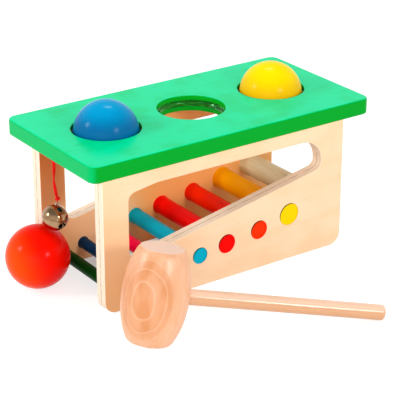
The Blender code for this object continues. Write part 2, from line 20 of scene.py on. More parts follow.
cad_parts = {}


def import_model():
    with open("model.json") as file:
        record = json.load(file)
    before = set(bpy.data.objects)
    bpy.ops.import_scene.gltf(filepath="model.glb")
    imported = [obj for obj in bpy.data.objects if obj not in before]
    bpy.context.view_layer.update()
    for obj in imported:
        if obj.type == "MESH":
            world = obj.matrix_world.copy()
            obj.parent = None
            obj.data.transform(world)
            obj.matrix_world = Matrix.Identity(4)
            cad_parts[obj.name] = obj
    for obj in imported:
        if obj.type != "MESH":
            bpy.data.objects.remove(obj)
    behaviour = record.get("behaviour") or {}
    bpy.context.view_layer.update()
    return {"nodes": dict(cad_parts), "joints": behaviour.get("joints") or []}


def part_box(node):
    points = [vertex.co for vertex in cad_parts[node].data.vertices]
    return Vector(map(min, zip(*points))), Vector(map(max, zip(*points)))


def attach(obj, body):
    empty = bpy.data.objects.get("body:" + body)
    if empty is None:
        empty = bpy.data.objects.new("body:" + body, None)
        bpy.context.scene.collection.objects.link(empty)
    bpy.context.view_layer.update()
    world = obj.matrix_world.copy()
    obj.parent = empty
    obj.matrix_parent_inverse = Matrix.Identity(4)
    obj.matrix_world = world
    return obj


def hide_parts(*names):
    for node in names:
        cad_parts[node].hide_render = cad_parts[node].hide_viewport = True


LOG = logging.getLogger("pounding_bench")

Colour = tuple[int, int, int]
Profile = list[tuple[float, float]]
Band = tuple[tuple[float, float], tuple[float, float]]

MILLIMETRE = 0.001
WELD = 0.000005
WHITE = (1.0, 1.0, 1.0, 1.0)
CUT_OVERRUN = 0.002
WIRE_ROUNDNESS = 4
CORNER_STEPS = 14
PIN_PITH = (0.03, 0.02, 0.0)
PIN_RING = 0.05


def linear(colour: Colour) -> tuple[float, float, float, float]:
    """Turns a seen colour into the values that a shader holds.

    Args:
        colour: Red, green and blue as they are seen, from 0 to 255.

    Returns:
        The linear red, green and blue, and an alpha of 1.
    """
    shares = [value / 255 for value in colour]
    return (*[s / 12.92 if s <= 0.04045 else ((s + 0.055) / 1.055) ** 2.4 for s in shares], 1.0)


def arc(centre: tuple[float, float], radius: float, start: float, end: float, steps: int) -> Profile:
    """Works out points on an arc.

    Args:
        centre: The arc's centre.
        radius: Its radius.
        start: The angle of its first point, in radians.
        end: The angle of its last point.
        steps: How many straight pieces it has.

    Returns:
        The points, from the first to the last.
    """
    angles = [start + (end - start) * i / steps for i in range(steps + 1)]
    return [(centre[0] + radius * math.cos(a), centre[1] + radius * math.sin(a)) for a in angles]


def both_ways(upper: Profile, *between: tuple[float, float]) -> Profile:
    """A whole profile from its upper half, which is repeated below Z = 0, and what lies between."""
    return [(radius, -height) for radius, height in reversed(upper)] + [*between, *upper]


def laid_along_y(middle: Sequence[float]) -> Matrix:
    """The move of a piece that was turned about Z, to lie along Y about a middle point."""
    return Matrix.Translation(middle) @ Matrix.Rotation(math.pi / 2, 4, "X")


def select_alone(item: bpy.types.Object) -> None:
    """Selects an object and nothing else.

    Args:
        item: The object.
    """
    bpy.ops.object.select_all(action="DESELECT")
    item.select_set(True)
    bpy.context.view_layer.objects.active = item


def rounded_rim(radius: float, height: float, edge: float, steps: int = 4) -> Profile:
    """The profile of a turned piece's upper rim, rounded by an edge radius, from its side inwards."""
    return arc((radius - edge, height - edge), edge, 0.0, math.pi / 2, steps)


@dataclass(frozen=True)
class Room:
    """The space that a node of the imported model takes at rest."""

    low: Vector
    high: Vector

    @classmethod
    def of(cls, node: str) -> "Room":
        """The room of the node with that name."""
        return cls(*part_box(node))

    @property
    def middle(self) -> Vector:
        """The room's middle point."""
        return (self.low + self.high) / 2

    @property
    def size(self) -> Vector:
        """The room's length, width and height."""
        return self.high - self.low


class Element(Enum):
    """What edit mode selects."""

    VERTEX = "VERT"
    EDGE = "EDGE"
    FACE = "FACE"


class Piece:
    """One visible piece, shaped with Blender's modelling tools and finished at the origin."""

    def __init__(self, name: str) -> None:
        """Takes up the object that was added last.

        Args:
            name: The piece's name.
        """
        self.made: bpy.types.Object = bpy.context.object
        self.made.name = name
        self.made.data.name = name
        self.made.data.materials.clear()

    @classmethod
    def block(cls, name: str, middle: Vector, size: Vector) -> "Piece":
        """Makes a block.

        Args:
            name: The piece's name.
            middle: Its middle point.
            size: Its length, width and height.

        Returns:
            The block.
        """
        bpy.ops.object.select_all(action="DESELECT")
        bpy.ops.mesh.primitive_cube_add(size=1, location=middle, scale=size)
        return cls(name).settled()

    @classmethod
    def turned(cls, name: str, profile: Profile, steps: int) -> "Piece":
        """Turns a piece about Z: a disc is extruded up its profile and resized at each point.

        Args:
            name: The piece's name.
            profile: Its (radius, height) points from the lower end's rim to the upper end's.
            steps: The number of sides.

        Returns:
            The closed piece, standing on the origin.
        """
        radius, height = profile[0]
        bpy.ops.object.select_all(action="DESELECT")
        bpy.ops.mesh.primitive_circle_add(
            vertices=steps, radius=radius, location=(0, 0, height), fill_type="NGON"
        )
        piece = cls(name)
        with piece.shaping(Element.FACE):
            bpy.ops.mesh.select_all(action="SELECT")
            for next_radius, next_height in profile[1:]:
                rise = (0.0, 0.0, next_height - height)
                growth = next_radius / radius
                bpy.ops.mesh.extrude_region_move(TRANSFORM_OT_translate={"value": rise})
                bpy.ops.transform.resize(value=(growth, growth, 1), center_override=(0, 0, 0))
                radius, height = next_radius, next_height
            piece.face_outwards()
        return piece.settled()

    @classmethod
    def sawn(cls, name: str, corners: Sequence[tuple[float, float, float]], thickness: float) -> "Piece":
        """Saws a flat plate: a point is drawn along the outline and spun round its corners.

        Args:
            name: The piece's name.
            corners: Its (x, y, radius) corners, anticlockwise.
            thickness: How thick it is, about Z = 0.

        Returns:
            The plate, lying in the XY plane.
        """
        first = None
        bpy.ops.object.select_all(action="DESELECT")
        for index, (x, y, radius) in enumerate(corners):
            corner = Vector((x, y))
            before = (Vector(corners[index - 1][:2]) - corner).normalized()
            after = (Vector(corners[(index + 1) % len(corners)][:2]) - corner).normalized()
            half = before.angle(after) / 2
            start = corner + before * radius / math.tan(half)
            centre = corner + (before + after).normalized() * radius / math.sin(half)
            if first is None:
                first = start
                bpy.ops.mesh.primitive_circle_add(
                    vertices=3, radius=MILLIMETRE, location=(*start, -thickness / 2)
                )
                piece = cls(name).settled()
                piece.open_for_shaping(Element.VERTEX)
                bpy.ops.mesh.select_all(action="SELECT")
                bpy.ops.mesh.merge(type="CENTER")
            else:
                way = (*(start - point), 0.0)
                bpy.ops.mesh.extrude_vertices_move(TRANSFORM_OT_translate={"value": way})
            turn = math.copysign(math.pi - 2 * half, before.cross(after))
            middle = (*centre, -thickness / 2)
            bpy.ops.mesh.spin(steps=CORNER_STEPS, angle=turn, center=middle, axis=(0, 0, 1))
            point = corner + after * radius / math.tan(half)
        bpy.ops.mesh.extrude_vertices_move(TRANSFORM_OT_translate={"value": (*(first - point), 0.0)})
        bpy.ops.mesh.select_all(action="SELECT")
        bpy.ops.mesh.remove_doubles(threshold=WELD)
        bpy.ops.mesh.edge_face_add()
        bpy.ops.mesh.extrude_region_move(TRANSFORM_OT_translate={"value": (0.0, 0.0, thickness)})
        piece.face_outwards()
        bpy.ops.object.mode_set(mode="OBJECT")
        return piece

    @classmethod
    def ball(cls, name: str, middle: Vector, radius: float, halvings: int = 5) -> "Piece":
        """Makes a ball with an even net of faces and no poles: a cube that is halved and cast round.

        Args:
            name: The piece's name.
            middle: Its middle point.
            radius: Its radius.
            halvings: How many times the cube's faces are halved.

        Returns:
            The ball.
        """
        piece = cls.block(name, Vector(), Vector((radius, radius, radius)))
        net = {"subdivision_type": "SIMPLE", "levels": halvings, "render_levels": halvings}
        cast = {"cast_type": "SPHERE", "factor": 1, "use_radius_as_size": False, "size": radius}
        piece.apply(piece.modifier("SUBSURF", "net", **net))
        piece.apply(piece.modifier("CAST", "round", **cast))
        return piece.moved(Matrix.Translation(middle))

    @classmethod
    def wire(cls, name: str, points: Sequence[Vector], diameter: float, closed: bool = False) -> "Piece":
        """Draws a round wire or strand along points.

        Args:
            name: The piece's name.
            points: The points down its middle.
            diameter: How thick it is.
            closed: Whether its end joins its start.

        Returns:
            The wire as a closed mesh.
        """
        curve = bpy.data.curves.new(name, "CURVE")
        curve.dimensions = "3D"
        curve.bevel_depth = diameter / 2
        curve.bevel_resolution = WIRE_ROUNDNESS
        curve.use_fill_caps = not closed
        spline = curve.splines.new("POLY")
        spline.points.add(len(points) - 1)
        for knot, point in zip(spline.points, points):
            knot.co = (*point, 1.0)
        spline.use_cyclic_u = closed
        drawn = bpy.data.objects.new(name, curve)
        bpy.context.scene.collection.objects.link(drawn)
        select_alone(drawn)
        bpy.ops.object.convert(target="MESH")
        piece = cls(name)
        with piece.shaping(Element.VERTEX):
            bpy.ops.mesh.select_all(action="SELECT")
            bpy.ops.mesh.remove_doubles(threshold=WELD)
            piece.face_outwards()
        return piece

    def open_for_shaping(self, element: Element) -> None:
        """Opens edit mode on this piece alone, with nothing selected.

        Args:
            element: What edit mode selects.
        """
        select_alone(self.made)
        bpy.ops.object.mode_set(mode="EDIT")
        bpy.ops.mesh.select_mode(type=element.value)
        bpy.ops.mesh.select_all(action="DESELECT")

    @contextmanager
    def shaping(self, element: Element) -> Iterator[None]:
        """Keeps edit mode open on this piece alone, for as long as the block lasts.

        Args:
            element: What edit mode selects.
        """
        self.open_for_shaping(element)
        yield
        bpy.ops.object.mode_set(mode="OBJECT")

    def choose(self, wanted: Callable[[Any], bool], element: Element) -> None:
        """Selects what a test wants, in edit mode.

        Args:
            wanted: The test on a vertex, edge or face.
            element: Which of them it tests.
        """
        mesh = bmesh.from_edit_mesh(self.made.data)
        items = {Element.VERTEX: mesh.verts, Element.EDGE: mesh.edges, Element.FACE: mesh.faces}[element]
        for item in items:
            if wanted(item):
                item.select_set(True)
        mesh.select_flush_mode()
        bmesh.update_edit_mesh(self.made.data)

    def face_outwards(self) -> None:
        """Turns every face outwards, in edit mode."""
        bpy.ops.mesh.select_all(action="SELECT")
        bpy.ops.mesh.normals_make_consistent(inside=False)

    def round_edges(self, wanted: Callable[[bmesh.types.BMEdge], bool], width: float, steps: int) -> "Piece":
        """Rounds the edges that a test wants.

        Args:
            wanted: The test on an edge.
            width: The rounding's radius.
            steps: How many faces it has.

        Returns:
            The piece.
        """
        with self.shaping(Element.EDGE):
            self.choose(wanted, Element.EDGE)
            bpy.ops.mesh.bevel(offset=width, segments=steps, profile=0.5, affect="EDGES", clamp_overlap=False)
        return self

    def modifier(self, kind: str, name: str, **settings: Any) -> bpy.types.Modifier:
        """Adds a modifier.

        Args:
            kind: Its type.
            name: Its name.
            **settings: Its settings.

        Returns:
            The modifier.
        """
        added = self.made.modifiers.new(name, kind)
        for key, value in settings.items():
            setattr(added, key, value)
        return added

    def apply(self, modifier: bpy.types.Modifier) -> "Piece":
        """Applies a modifier to the mesh.

        Args:
            modifier: The modifier.

        Returns:
            The piece.
        """
        bpy.context.view_layer.objects.active = self.made
        bpy.ops.object.modifier_apply(modifier=modifier.name)
        return self

    def cut(self, *tools: "Piece") -> "Piece":
        """Cuts this piece with others, and takes those others away.

        Args:
            *tools: The others.

        Returns:
            The piece.
        """
        for tool in tools:
            self.apply(self.modifier("BOOLEAN", tool.made.name, operation="DIFFERENCE", object=tool.made))
            bpy.data.objects.remove(tool.made)
        return self

    def settled(self) -> "Piece":
        """Puts the object's place, turn and scale into its mesh.

        Returns:
            The piece.
        """
        select_alone(self.made)
        bpy.ops.object.transform_apply(location=True, rotation=True, scale=True)
        return self

    def moved(self, matrix: Matrix) -> "Piece":
        """Moves the mesh by a matrix, with the object left at the origin."""
        self.made.matrix_world = matrix
        return self.settled()

    def room(self) -> Room:
        """Measures the space that the piece takes.

        Returns:
            The space.
        """
        points = [vertex.co for vertex in self.made.data.vertices]
        low = Vector([min(point[axis] for point in points) for axis in range(3)])
        high = Vector([max(point[axis] for point in points) for axis in range(3)])
        return Room(low, high)

    def smoothed(self, degrees: float = 35.0) -> "Piece":
        """Shades round faces smooth, and keeps flat ones flat.

        Args:
            degrees: The angle above which an edge stays sharp.

        Returns:
            The piece.
        """
        select_alone(self.made)
        bpy.ops.object.shade_smooth_by_angle(angle=math.radians(degrees))
        return self.apply(self.modifier("WEIGHTED_NORMAL", "flat faces", keep_sharp=True))

    def dressed(self, finish: "Finish", body: str, slot: str, *nodes: str) -> "Piece":
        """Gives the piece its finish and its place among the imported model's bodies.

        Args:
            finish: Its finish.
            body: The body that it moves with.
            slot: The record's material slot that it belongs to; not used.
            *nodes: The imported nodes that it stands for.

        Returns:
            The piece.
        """
        self.made.data.materials.append(finish.material())
        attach(self.made, body)
        if nodes:
            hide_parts(*nodes)
        return self


class Reading:
    """A number that a shader works out: arithmetic on it adds Math nodes."""

    def __init__(self, recipe: "Sheet", socket: bpy.types.NodeSocket) -> None:
        """Keeps the sheet and the socket that the number comes from."""
        self.recipe = recipe
        self.socket = socket

    def worked(self, operation: str, *terms: "Reading | float") -> "Reading":
        """The outcome of a Math node on some terms."""
        return self.recipe.reading("ShaderNodeMath", {"operation": operation}, dict(enumerate(terms)))

    def __add__(self, other: "Reading | float") -> "Reading":
        """This plus another."""
        return self.worked("ADD", self, other)

    __radd__ = __add__

    def __sub__(self, other: "Reading | float") -> "Reading":
        """This less another."""
        return self.worked("SUBTRACT", self, other)

    def __rsub__(self, other: float) -> "Reading":
        """A number less this."""
        return self.worked("SUBTRACT", other, self)

    def __mul__(self, other: "Reading | float") -> "Reading":
        """This times another."""
        return self.worked("MULTIPLY", self, other)

    def __truediv__(self, other: "Reading | float") -> "Reading":
        """This over another."""
        return self.worked("DIVIDE", self, other)

    def size(self) -> "Reading":
        """This without its sign."""
        return self.worked("ABSOLUTE", self)

    def fraction(self) -> "Reading":
        """What is left of this after its whole part."""
        return self.worked("FRACT", self)

    def ramp(self, low: float, high: float) -> "Reading":
        """Climbs smoothly from 0 to 1, or falls where the low value is the higher one.

        Args:
            low: The value that gives 0.
            high: The value that gives 1.

        Returns:
            The share of the climb.
        """
        smooth = {"interpolation_type": "SMOOTHSTEP"}
        limits = {"Value": self, "From Min": low, "From Max": high}
        return self.recipe.reading("ShaderNodeMapRange", smooth, limits, "Result")


class Sheet:
    """An empty sheet for the nodes of a material or of the surround."""

    def __init__(self, owner: bpy.types.Material | bpy.types.World) -> None:
        """Clears the nodes of the owner.

        Args:
            owner: The material or the surround.
        """
        owner.use_nodes = True
        self.tree = owner.node_tree
        self.tree.nodes.clear()

    def node(
        self, kind: str, settings: dict[str, Any] | None = None, sockets: dict[Any, Any] | None = None
    ) -> bpy.types.Node:
        """Adds a node.

        Args:
            kind: Its type.
            settings: Its own settings, which are set first.
            sockets: The value or link of each socket, by name or number.

        Returns:
            The node.
        """
        made = self.tree.nodes.new(kind)
        for key, value in (settings or {}).items():
            setattr(made, key, value)
        for key, value in (sockets or {}).items():
            if isinstance(value, Reading):
                value = value.socket
            if isinstance(value, bpy.types.NodeSocket):
                self.tree.links.new(value, made.inputs[key])
            else:
                made.inputs[key].default_value = value
        return made

    def reading(
        self, kind: str, settings: dict[str, Any] | None, sockets: dict[Any, Any], output: str | int = 0
    ) -> Reading:
        """The number that a new node gives, at one of its outputs."""
        return Reading(self, self.node(kind, settings, sockets).outputs[output])

    def seen(self, mirrored: bool = True) -> Reading:
        """Tells rays of the eye from rays of light.

        Args:
            mirrored: Whether what the eye sees in a mirror counts too.

        Returns:
            1 where the eye sees a thing, itself or through glass, and 0 where it only lights.
        """
        rays = self.node("ShaderNodeLightPath")
        kinds = ["Is Camera Ray", "Is Transmission Ray"] + ["Is Glossy Ray"] * mirrored
        straight, *others = [Reading(self, rays.outputs[kind]) for kind in kinds]
        for other in others:
            straight = straight.worked("MAXIMUM", straight, other)
        return straight

    def axis(self, place: bpy.types.NodeSocket, name: str) -> Reading:
        """One of the X, Y and Z of a place or a direction."""
        return self.reading("ShaderNodeSeparateXYZ", None, {"Vector": place}, name)


class Recipe(Sheet):
    """A material's nodes while they are written down."""

    def __init__(self, name: str) -> None:
        """Starts a material with a plain Principled shader.

        Args:
            name: The material's name.
        """
        self.made = bpy.data.materials.new(name)
        super().__init__(self.made)
        self.shader = self.node("ShaderNodeBsdfPrincipled")
        self.output = self.node("ShaderNodeOutputMaterial", None, {"Surface": self.shader.outputs["BSDF"]})

    def vector(self, operation: str, *terms: Any, output: str = "Vector") -> bpy.types.NodeSocket:
        """The outcome of a Vector Math node on some terms."""
        made = self.node("ShaderNodeVectorMath", {"operation": operation}, dict(enumerate(terms)))
        return made.outputs[output]

    def place(
        self,
        origin: Sequence[float] = (0, 0, 0),
        turn: Sequence[float] = (0, 0, 0),
        stretch: Sequence[float] = (1, 1, 1),
    ) -> bpy.types.NodeSocket:
        """Where a point of the piece is, seen from an origin, turned, and longer where it is stretched.

        Args:
            origin: The pattern's origin on the piece.
            turn: Its turn, as Euler angles.
            stretch: How many times longer the pattern is along each axis.

        Returns:
            The socket of the place.
        """
        coordinates = self.node("ShaderNodeTexCoord")
        mapping = self.node(
            "ShaderNodeMapping",
            {"vector_type": "TEXTURE"},
            {"Vector": coordinates.outputs["Object"], "Location": origin, "Rotation": turn, "Scale": stretch},
        )
        return mapping.outputs["Vector"]

    def facing(self, name: str) -> Reading:
        """How far the surface faces along X, Y or Z of the piece, from -1 to 1."""
        return self.axis(self.node("ShaderNodeTexCoord").outputs["Normal"], name)

    def leaning(self, way: Sequence[float]) -> Reading:
        """How far the surface faces a way of the piece, from -1 to 1."""
        normal = self.node("ShaderNodeTexCoord").outputs["Normal"]
        return Reading(self, self.vector("DOT_PRODUCT", normal, way, output="Value"))

    def distance(
        self, place: bpy.types.NodeSocket, origin: Sequence[float], across: Sequence[int]
    ) -> Reading:
        """How far a place is from a line along one axis.

        Args:
            place: The place.
            origin: A point of the line.
            across: 1 for each axis that is square to the line, and 0 for its own.

        Returns:
            The distance.
        """
        flat = self.vector("MULTIPLY", self.vector("SUBTRACT", place, origin), across)
        return Reading(self, self.vector("LENGTH", flat, output="Value"))

    def noise(self, place: bpy.types.NodeSocket, grain: float, detail: float = 2.0) -> Reading:
        """Soft noise, about 0.5, whose grain is a length on the piece."""
        sockets = {"Vector": place, "Scale": 1 / grain, "Detail": detail}
        return self.reading("ShaderNodeTexNoise", None, sockets)

    def blend(self, share: Reading, one: Any, other: Any) -> bpy.types.NodeSocket:
        """Blends two colours.

        Args:
            share: How much of the second there is.
            one: The first, as a seen colour or a socket.
            other: The second.

        Returns:
            The colour's socket.
        """
        one, other = [linear(c) if isinstance(c, tuple) else c for c in (one, other)]
        settings = {"data_type": "RGBA", "clamp_factor": True}
        return self.node("ShaderNodeMix", settings, {0: share, 6: one, 7: other}).outputs[2]

    def finish(
        self,
        colour: bpy.types.NodeSocket,
        roughness: "Reading | float",
        relief: Reading | None = None,
        depth: float = 0.0,
        **constants: float,
    ) -> bpy.types.Material:
        """Links what was worked out to the shader.

        Args:
            colour: The base colour.
            roughness: The roughness.
            relief: The height of the surface's relief, from 0 to 1.
            depth: How deep the relief is, in metres.
            **constants: The shader's other values, by their names with _ for a space.

        Returns:
            The material.
        """
        self.tree.links.new(colour, self.shader.inputs["Base Color"])
        if isinstance(roughness, Reading):
            self.tree.links.new(roughness.socket, self.shader.inputs["Roughness"])
        else:
            self.shader.inputs["Roughness"].default_value = roughness
        if relief is not None:
            bump = self.node("ShaderNodeBump", None, {"Height": relief, "Distance": depth})
            self.tree.links.new(bump.outputs["Normal"], self.shader.inputs["Normal"])
        for key, value in constants.items():
            self.shader.inputs[key.replace("_", " ")].default_value = value
        return self.made


@dataclass(frozen=True)
class Finish:
    """A finish, whose material is made once."""

    name: str

    def material(self) -> bpy.types.Material:
        """The finish's material."""
        return bpy.data.materials.get(self.name) or self.written(Recipe(self.name))

    def written(self, recipe: Recipe) -> bpy.types.Material:
        """Writes the finish's nodes, in each kind of finish its own way."""
        raise NotImplementedError


@dataclass(frozen=True)
class Lacquer(Finish):
    """Opaque lacquer on a wooden ball, in painted light and shade: lighter on its lit side and deeper on the
    side away from the light.
    """

    # The first colour is the lacquer on its lit side, and the second the same lacquer in painted shade, for
    # the side away from the light.
    colour: Colour
    shaded_tone: Colour
    lit_from: tuple[float, float, float] = (0.0, 0.0, 1.0)
    shade_until: float = 0.3
    lit_above: float = 1.0
    roughness: float = 0.19
    cloud_grain: float = 0.018
    ripple_grain: float = 0.0022
    speck_grain: float = 0.0007
    relief: float = 0.00001

    def written(self, recipe: Recipe) -> bpy.types.Material:
        """Writes the lacquer's nodes.

        Args:
            recipe: The material's nodes, to be added to.

        Returns:
            The material.
        """
        place = recipe.place()
        clouds = recipe.noise(place, self.cloud_grain, 3.0)
        ripples = recipe.noise(place, self.ripple_grain, 3.0)
        specks = recipe.noise(place, self.speck_grain)
        # Painted light and shade: the tone follows how far the surface faces the light.
        side = recipe.leaning(self.lit_from) + (clouds - 0.5) * 0.15
        colour = recipe.blend(side.ramp(self.shade_until, self.lit_above), self.shaded_tone, self.colour)
        gloss = self.roughness + (specks - 0.5) * 0.10 + (clouds - 0.5) * 0.06
        return recipe.finish(colour, gloss, ripples * 0.8 + specks * 0.2, self.relief, IOR=1.155)


@dataclass(frozen=True)
class RodPaint(Finish):
    """The paint of a cross rod, in painted light and shade: deeper along it inside the bench, a painted
    shade, bright on its open ends, and a painted shadow where an end meets its hole.
    """

    body: Colour
    end: Colour
    rod: str
    rim_shadow_share: float = 0.45
    rim_gap: float = 0.0004
    rim_shadow_shift: float = 0.0016
    inner_length: float = 0.0402
    cloud_grain: float = 0.006
    ripple_grain: float = 0.0018
    relief: float = 0.00002

    def written(self, recipe: Recipe) -> bpy.types.Material:
        """Writes the paint's nodes, with the rod along Y.

        Args:
            recipe: The material's nodes, to be added to.

        Returns:
            The material.
        """
        room = Room.of(self.rod)
        place = recipe.place(room.middle)
        clouds = recipe.noise(recipe.place(stretch=(1, 4, 1)), self.cloud_grain, 3.0)
        ripples = recipe.noise(place, self.ripple_grain)
        # Painted shadow: a dark crescent on an open end, on its upper side towards the low end, where the end
        # sits below its hole's rim.
        across = recipe.distance(place, (self.rim_shadow_shift, 0.0, -self.rim_shadow_shift), (1, 0, 1))
        start = room.size.x / 2 + self.rim_gap
        rim = across.ramp(start, start + self.rim_gap)
        rim_shadow = tuple(round(value * self.rim_shadow_share) for value in self.end)
        end = recipe.blend(rim * recipe.facing("Y").size().ramp(0.4, 0.8), self.end, rim_shadow)
        # Painted shade: the part of the rod inside the bench takes the deeper body tone, and its ends the lit
        # tone.
        outside = recipe.axis(place, "Y").size().ramp(self.inner_length, self.inner_length + self.rim_gap)
        colour = recipe.blend(outside, self.body, end)
        roughness = 0.30 + (clouds - 0.5) * 0.12
        return recipe.finish(colour, roughness, ripples * 0.5 + clouds * 0.5, self.relief, IOR=1.13)


@dataclass(frozen=True)
class BoardLacquer(Finish):
    """The board's green lacquer, in painted light and shade: bright on its face, its own green with a painted
    sheen, deeper round its edges and in its holes, a painted shade; bare below.
    """

    board: str
    # The face, edge, end and hole colours are one lacquer in painted light and shade.
    face: Colour = (0, 234, 162)
    face_shade: Colour = (0, 223, 140)
    edge: Colour = (0, 163, 42)
    end: Colour = (0, 188, 100)
    hole: Colour = (0, 174, 30)
    bare: Colour = (255, 226, 184)
    edge_depth: float = 0.004
    fibre_grain: float = 0.004
    cloud_grain: float = 0.022
    ripple_grain: float = 0.0035
    relief: float = 0.000012

    def written(self, recipe: Recipe) -> bpy.types.Material:
        """Writes the board's nodes.

        Args:
            recipe: The material's nodes, to be added to.

        Returns:
            The material.
        """
        room = Room.of(self.board)
        place = recipe.place(room.middle)
        grain = recipe.noise(recipe.place(stretch=(9, 1, 1)), self.fibre_grain, 3.0)
        clouds = recipe.noise(place, self.cloud_grain, 3.0)
        ripples = recipe.noise(place, self.ripple_grain)
        patches = clouds * 0.75 + grain * 0.25
        face = recipe.blend(patches.ramp(0.44, 0.66), self.face, self.face_shade)
        sides = [
            recipe.axis(place, name).size().ramp(half - self.edge_depth, half - self.edge_depth * 0.9)
            for name, half in (("X", room.size.x / 2), ("Y", room.size.y / 2))
        ]
        outer = sides[0].worked("MAXIMUM", *sides)
        # Painted light and shade: each side of the board takes its own tone, by the way it faces.
        end = recipe.blend(recipe.facing("X").size().ramp(0.3, 0.9), self.edge, self.end)
        side = recipe.blend(outer, self.hole, end)
        colour = recipe.blend(recipe.facing("Z").ramp(0.45, 0.95), side, face)
        colour = recipe.blend(recipe.facing("Z").ramp(-0.90, -0.97), colour, self.bare)
        gloss = 0.20 + (clouds - 0.5) * 0.08
        return recipe.finish(colour, gloss, ripples * 0.7 + grain * 0.3, self.relief, IOR=1.13)


@dataclass(frozen=True)
class Plywood(Finish):
    """Birch plywood: a pale face veneer, and light plies with dark glue lines on its edges. Its inner face
    takes a deeper, warmer tone, a painted shade.

    Each band says where a tone that is painted in grows, along X and then along Z. These tones stand for
    the photograph's light and shade, and aren't the wood's own.
    """

    middle: float
    thickness: float
    outward: int
    face: Colour = (255, 219, 182)
    face_shade: Colour = (252, 209, 166)
    fleck: Colour = (226, 172, 124)
    ply: Colour = (255, 238, 216)
    ply_shade: Colour = (240, 214, 184)
    glue: Colour = (150, 116, 98)
    # The inner and foot colours are painted light and shade: the inner face deeper and warmer inside the
    # bench, darker behind the bell, lighter near the floor at the low end, and the outer face warmer at the
    # low foot.
    inner: Colour = (252, 186, 110)
    inner_foot: Colour = (255, 228, 182)
    inner_shade: Colour = (210, 114, 38)
    foot: Colour = (246, 188, 132)
    fleck_share: float = 0.4
    shaded_band: Band = ((-0.066, -0.088), (0.020, 0.040))
    lit_band: Band = ((0.0, -0.04), (0.062, 0.034))
    low_end_band: Band = ((0.0, -0.09), (0.110, 0.012))
    figure_grain: float = 0.011
    cloud_grain: float = 0.030
    fibre_grain: float = 0.0011
    fleck_grain: float = 0.0008
    wander_grain: float = 0.012
    dash_grain: float = 0.0009
    relief: float = 0.00003

    def written(self, recipe: Recipe) -> bpy.types.Material:
        """Writes the plywood's nodes.

        Args:
            recipe: The material's nodes, to be added to.

        Returns:
            The material.
        """
        place = recipe.place(origin=(0.0, self.middle, 0.0))
        figure = recipe.noise(recipe.place(stretch=(5, 5, 1)), self.figure_grain, 3.0)
        clouds = recipe.noise(place, self.cloud_grain)
        fibres = recipe.noise(recipe.place(stretch=(14, 14, 1)), self.fibre_grain, 3.0)
        flecks = recipe.noise(recipe.place(stretch=(7, 7, 1)), self.fleck_grain, 1.0).ramp(0.68, 0.78)
        tone = (figure * 0.5 + clouds * 0.5).ramp(0.36, 0.66)
        face = recipe.blend(tone, self.face, self.face_shade)
        face = recipe.blend((fibres - 0.42) * 0.35, face, self.face_shade)
        face = recipe.blend(flecks * self.fleck_share, face, self.fleck)
        depth = recipe.axis(place, "Y") / self.thickness
        wander = (recipe.noise(recipe.place(), self.wander_grain) - 0.5) * 0.05
        layer = (depth + wander) * self.outward
        dashes = recipe.noise(recipe.place(stretch=(6, 1, 6)), self.dash_grain)
        middle_glue = layer.size().ramp(0.055, 0.015) * dashes.ramp(0.34, 0.56)
        outer_glue = (layer.size() - 0.375).size().ramp(0.022, 0.006) * 0.35
        core = layer.size().ramp(0.39, 0.36) * (0.45 + (fibres - 0.5) * 0.8)
        edge = recipe.blend(core, self.ply, self.ply_shade)
        edge = recipe.blend(middle_glue * 0.75 + outer_glue, edge, self.glue)
        inward = recipe.facing("Y") * -self.outward
        # Painted shade and light on the inner face and the low foot.
        shaded, lit, low_end = [
            recipe.axis(place, "X").ramp(*along) * recipe.axis(place, "Z").ramp(*up)
            for along, up in (self.shaded_band, self.lit_band, self.low_end_band)
        ]
        inner = recipe.blend(shaded, self.inner, self.inner_shade)
        inner = recipe.blend(lit, inner, self.inner_foot)
        face = recipe.blend(inward.ramp(0.5, 0.9), face, inner)
        face = recipe.blend(low_end * (0.8 + clouds * 0.4), face, self.foot)
        flatness = recipe.facing("Y").size().ramp(0.55, 0.85)
        colour = recipe.blend(flatness, edge, face)
        roughness = 0.44 + (fibres - 0.5) * 0.12
        height = fibres * 0.6 + figure * 0.4
        return recipe.finish(colour, roughness, height, self.relief, Specular_IOR_Level=0.35)


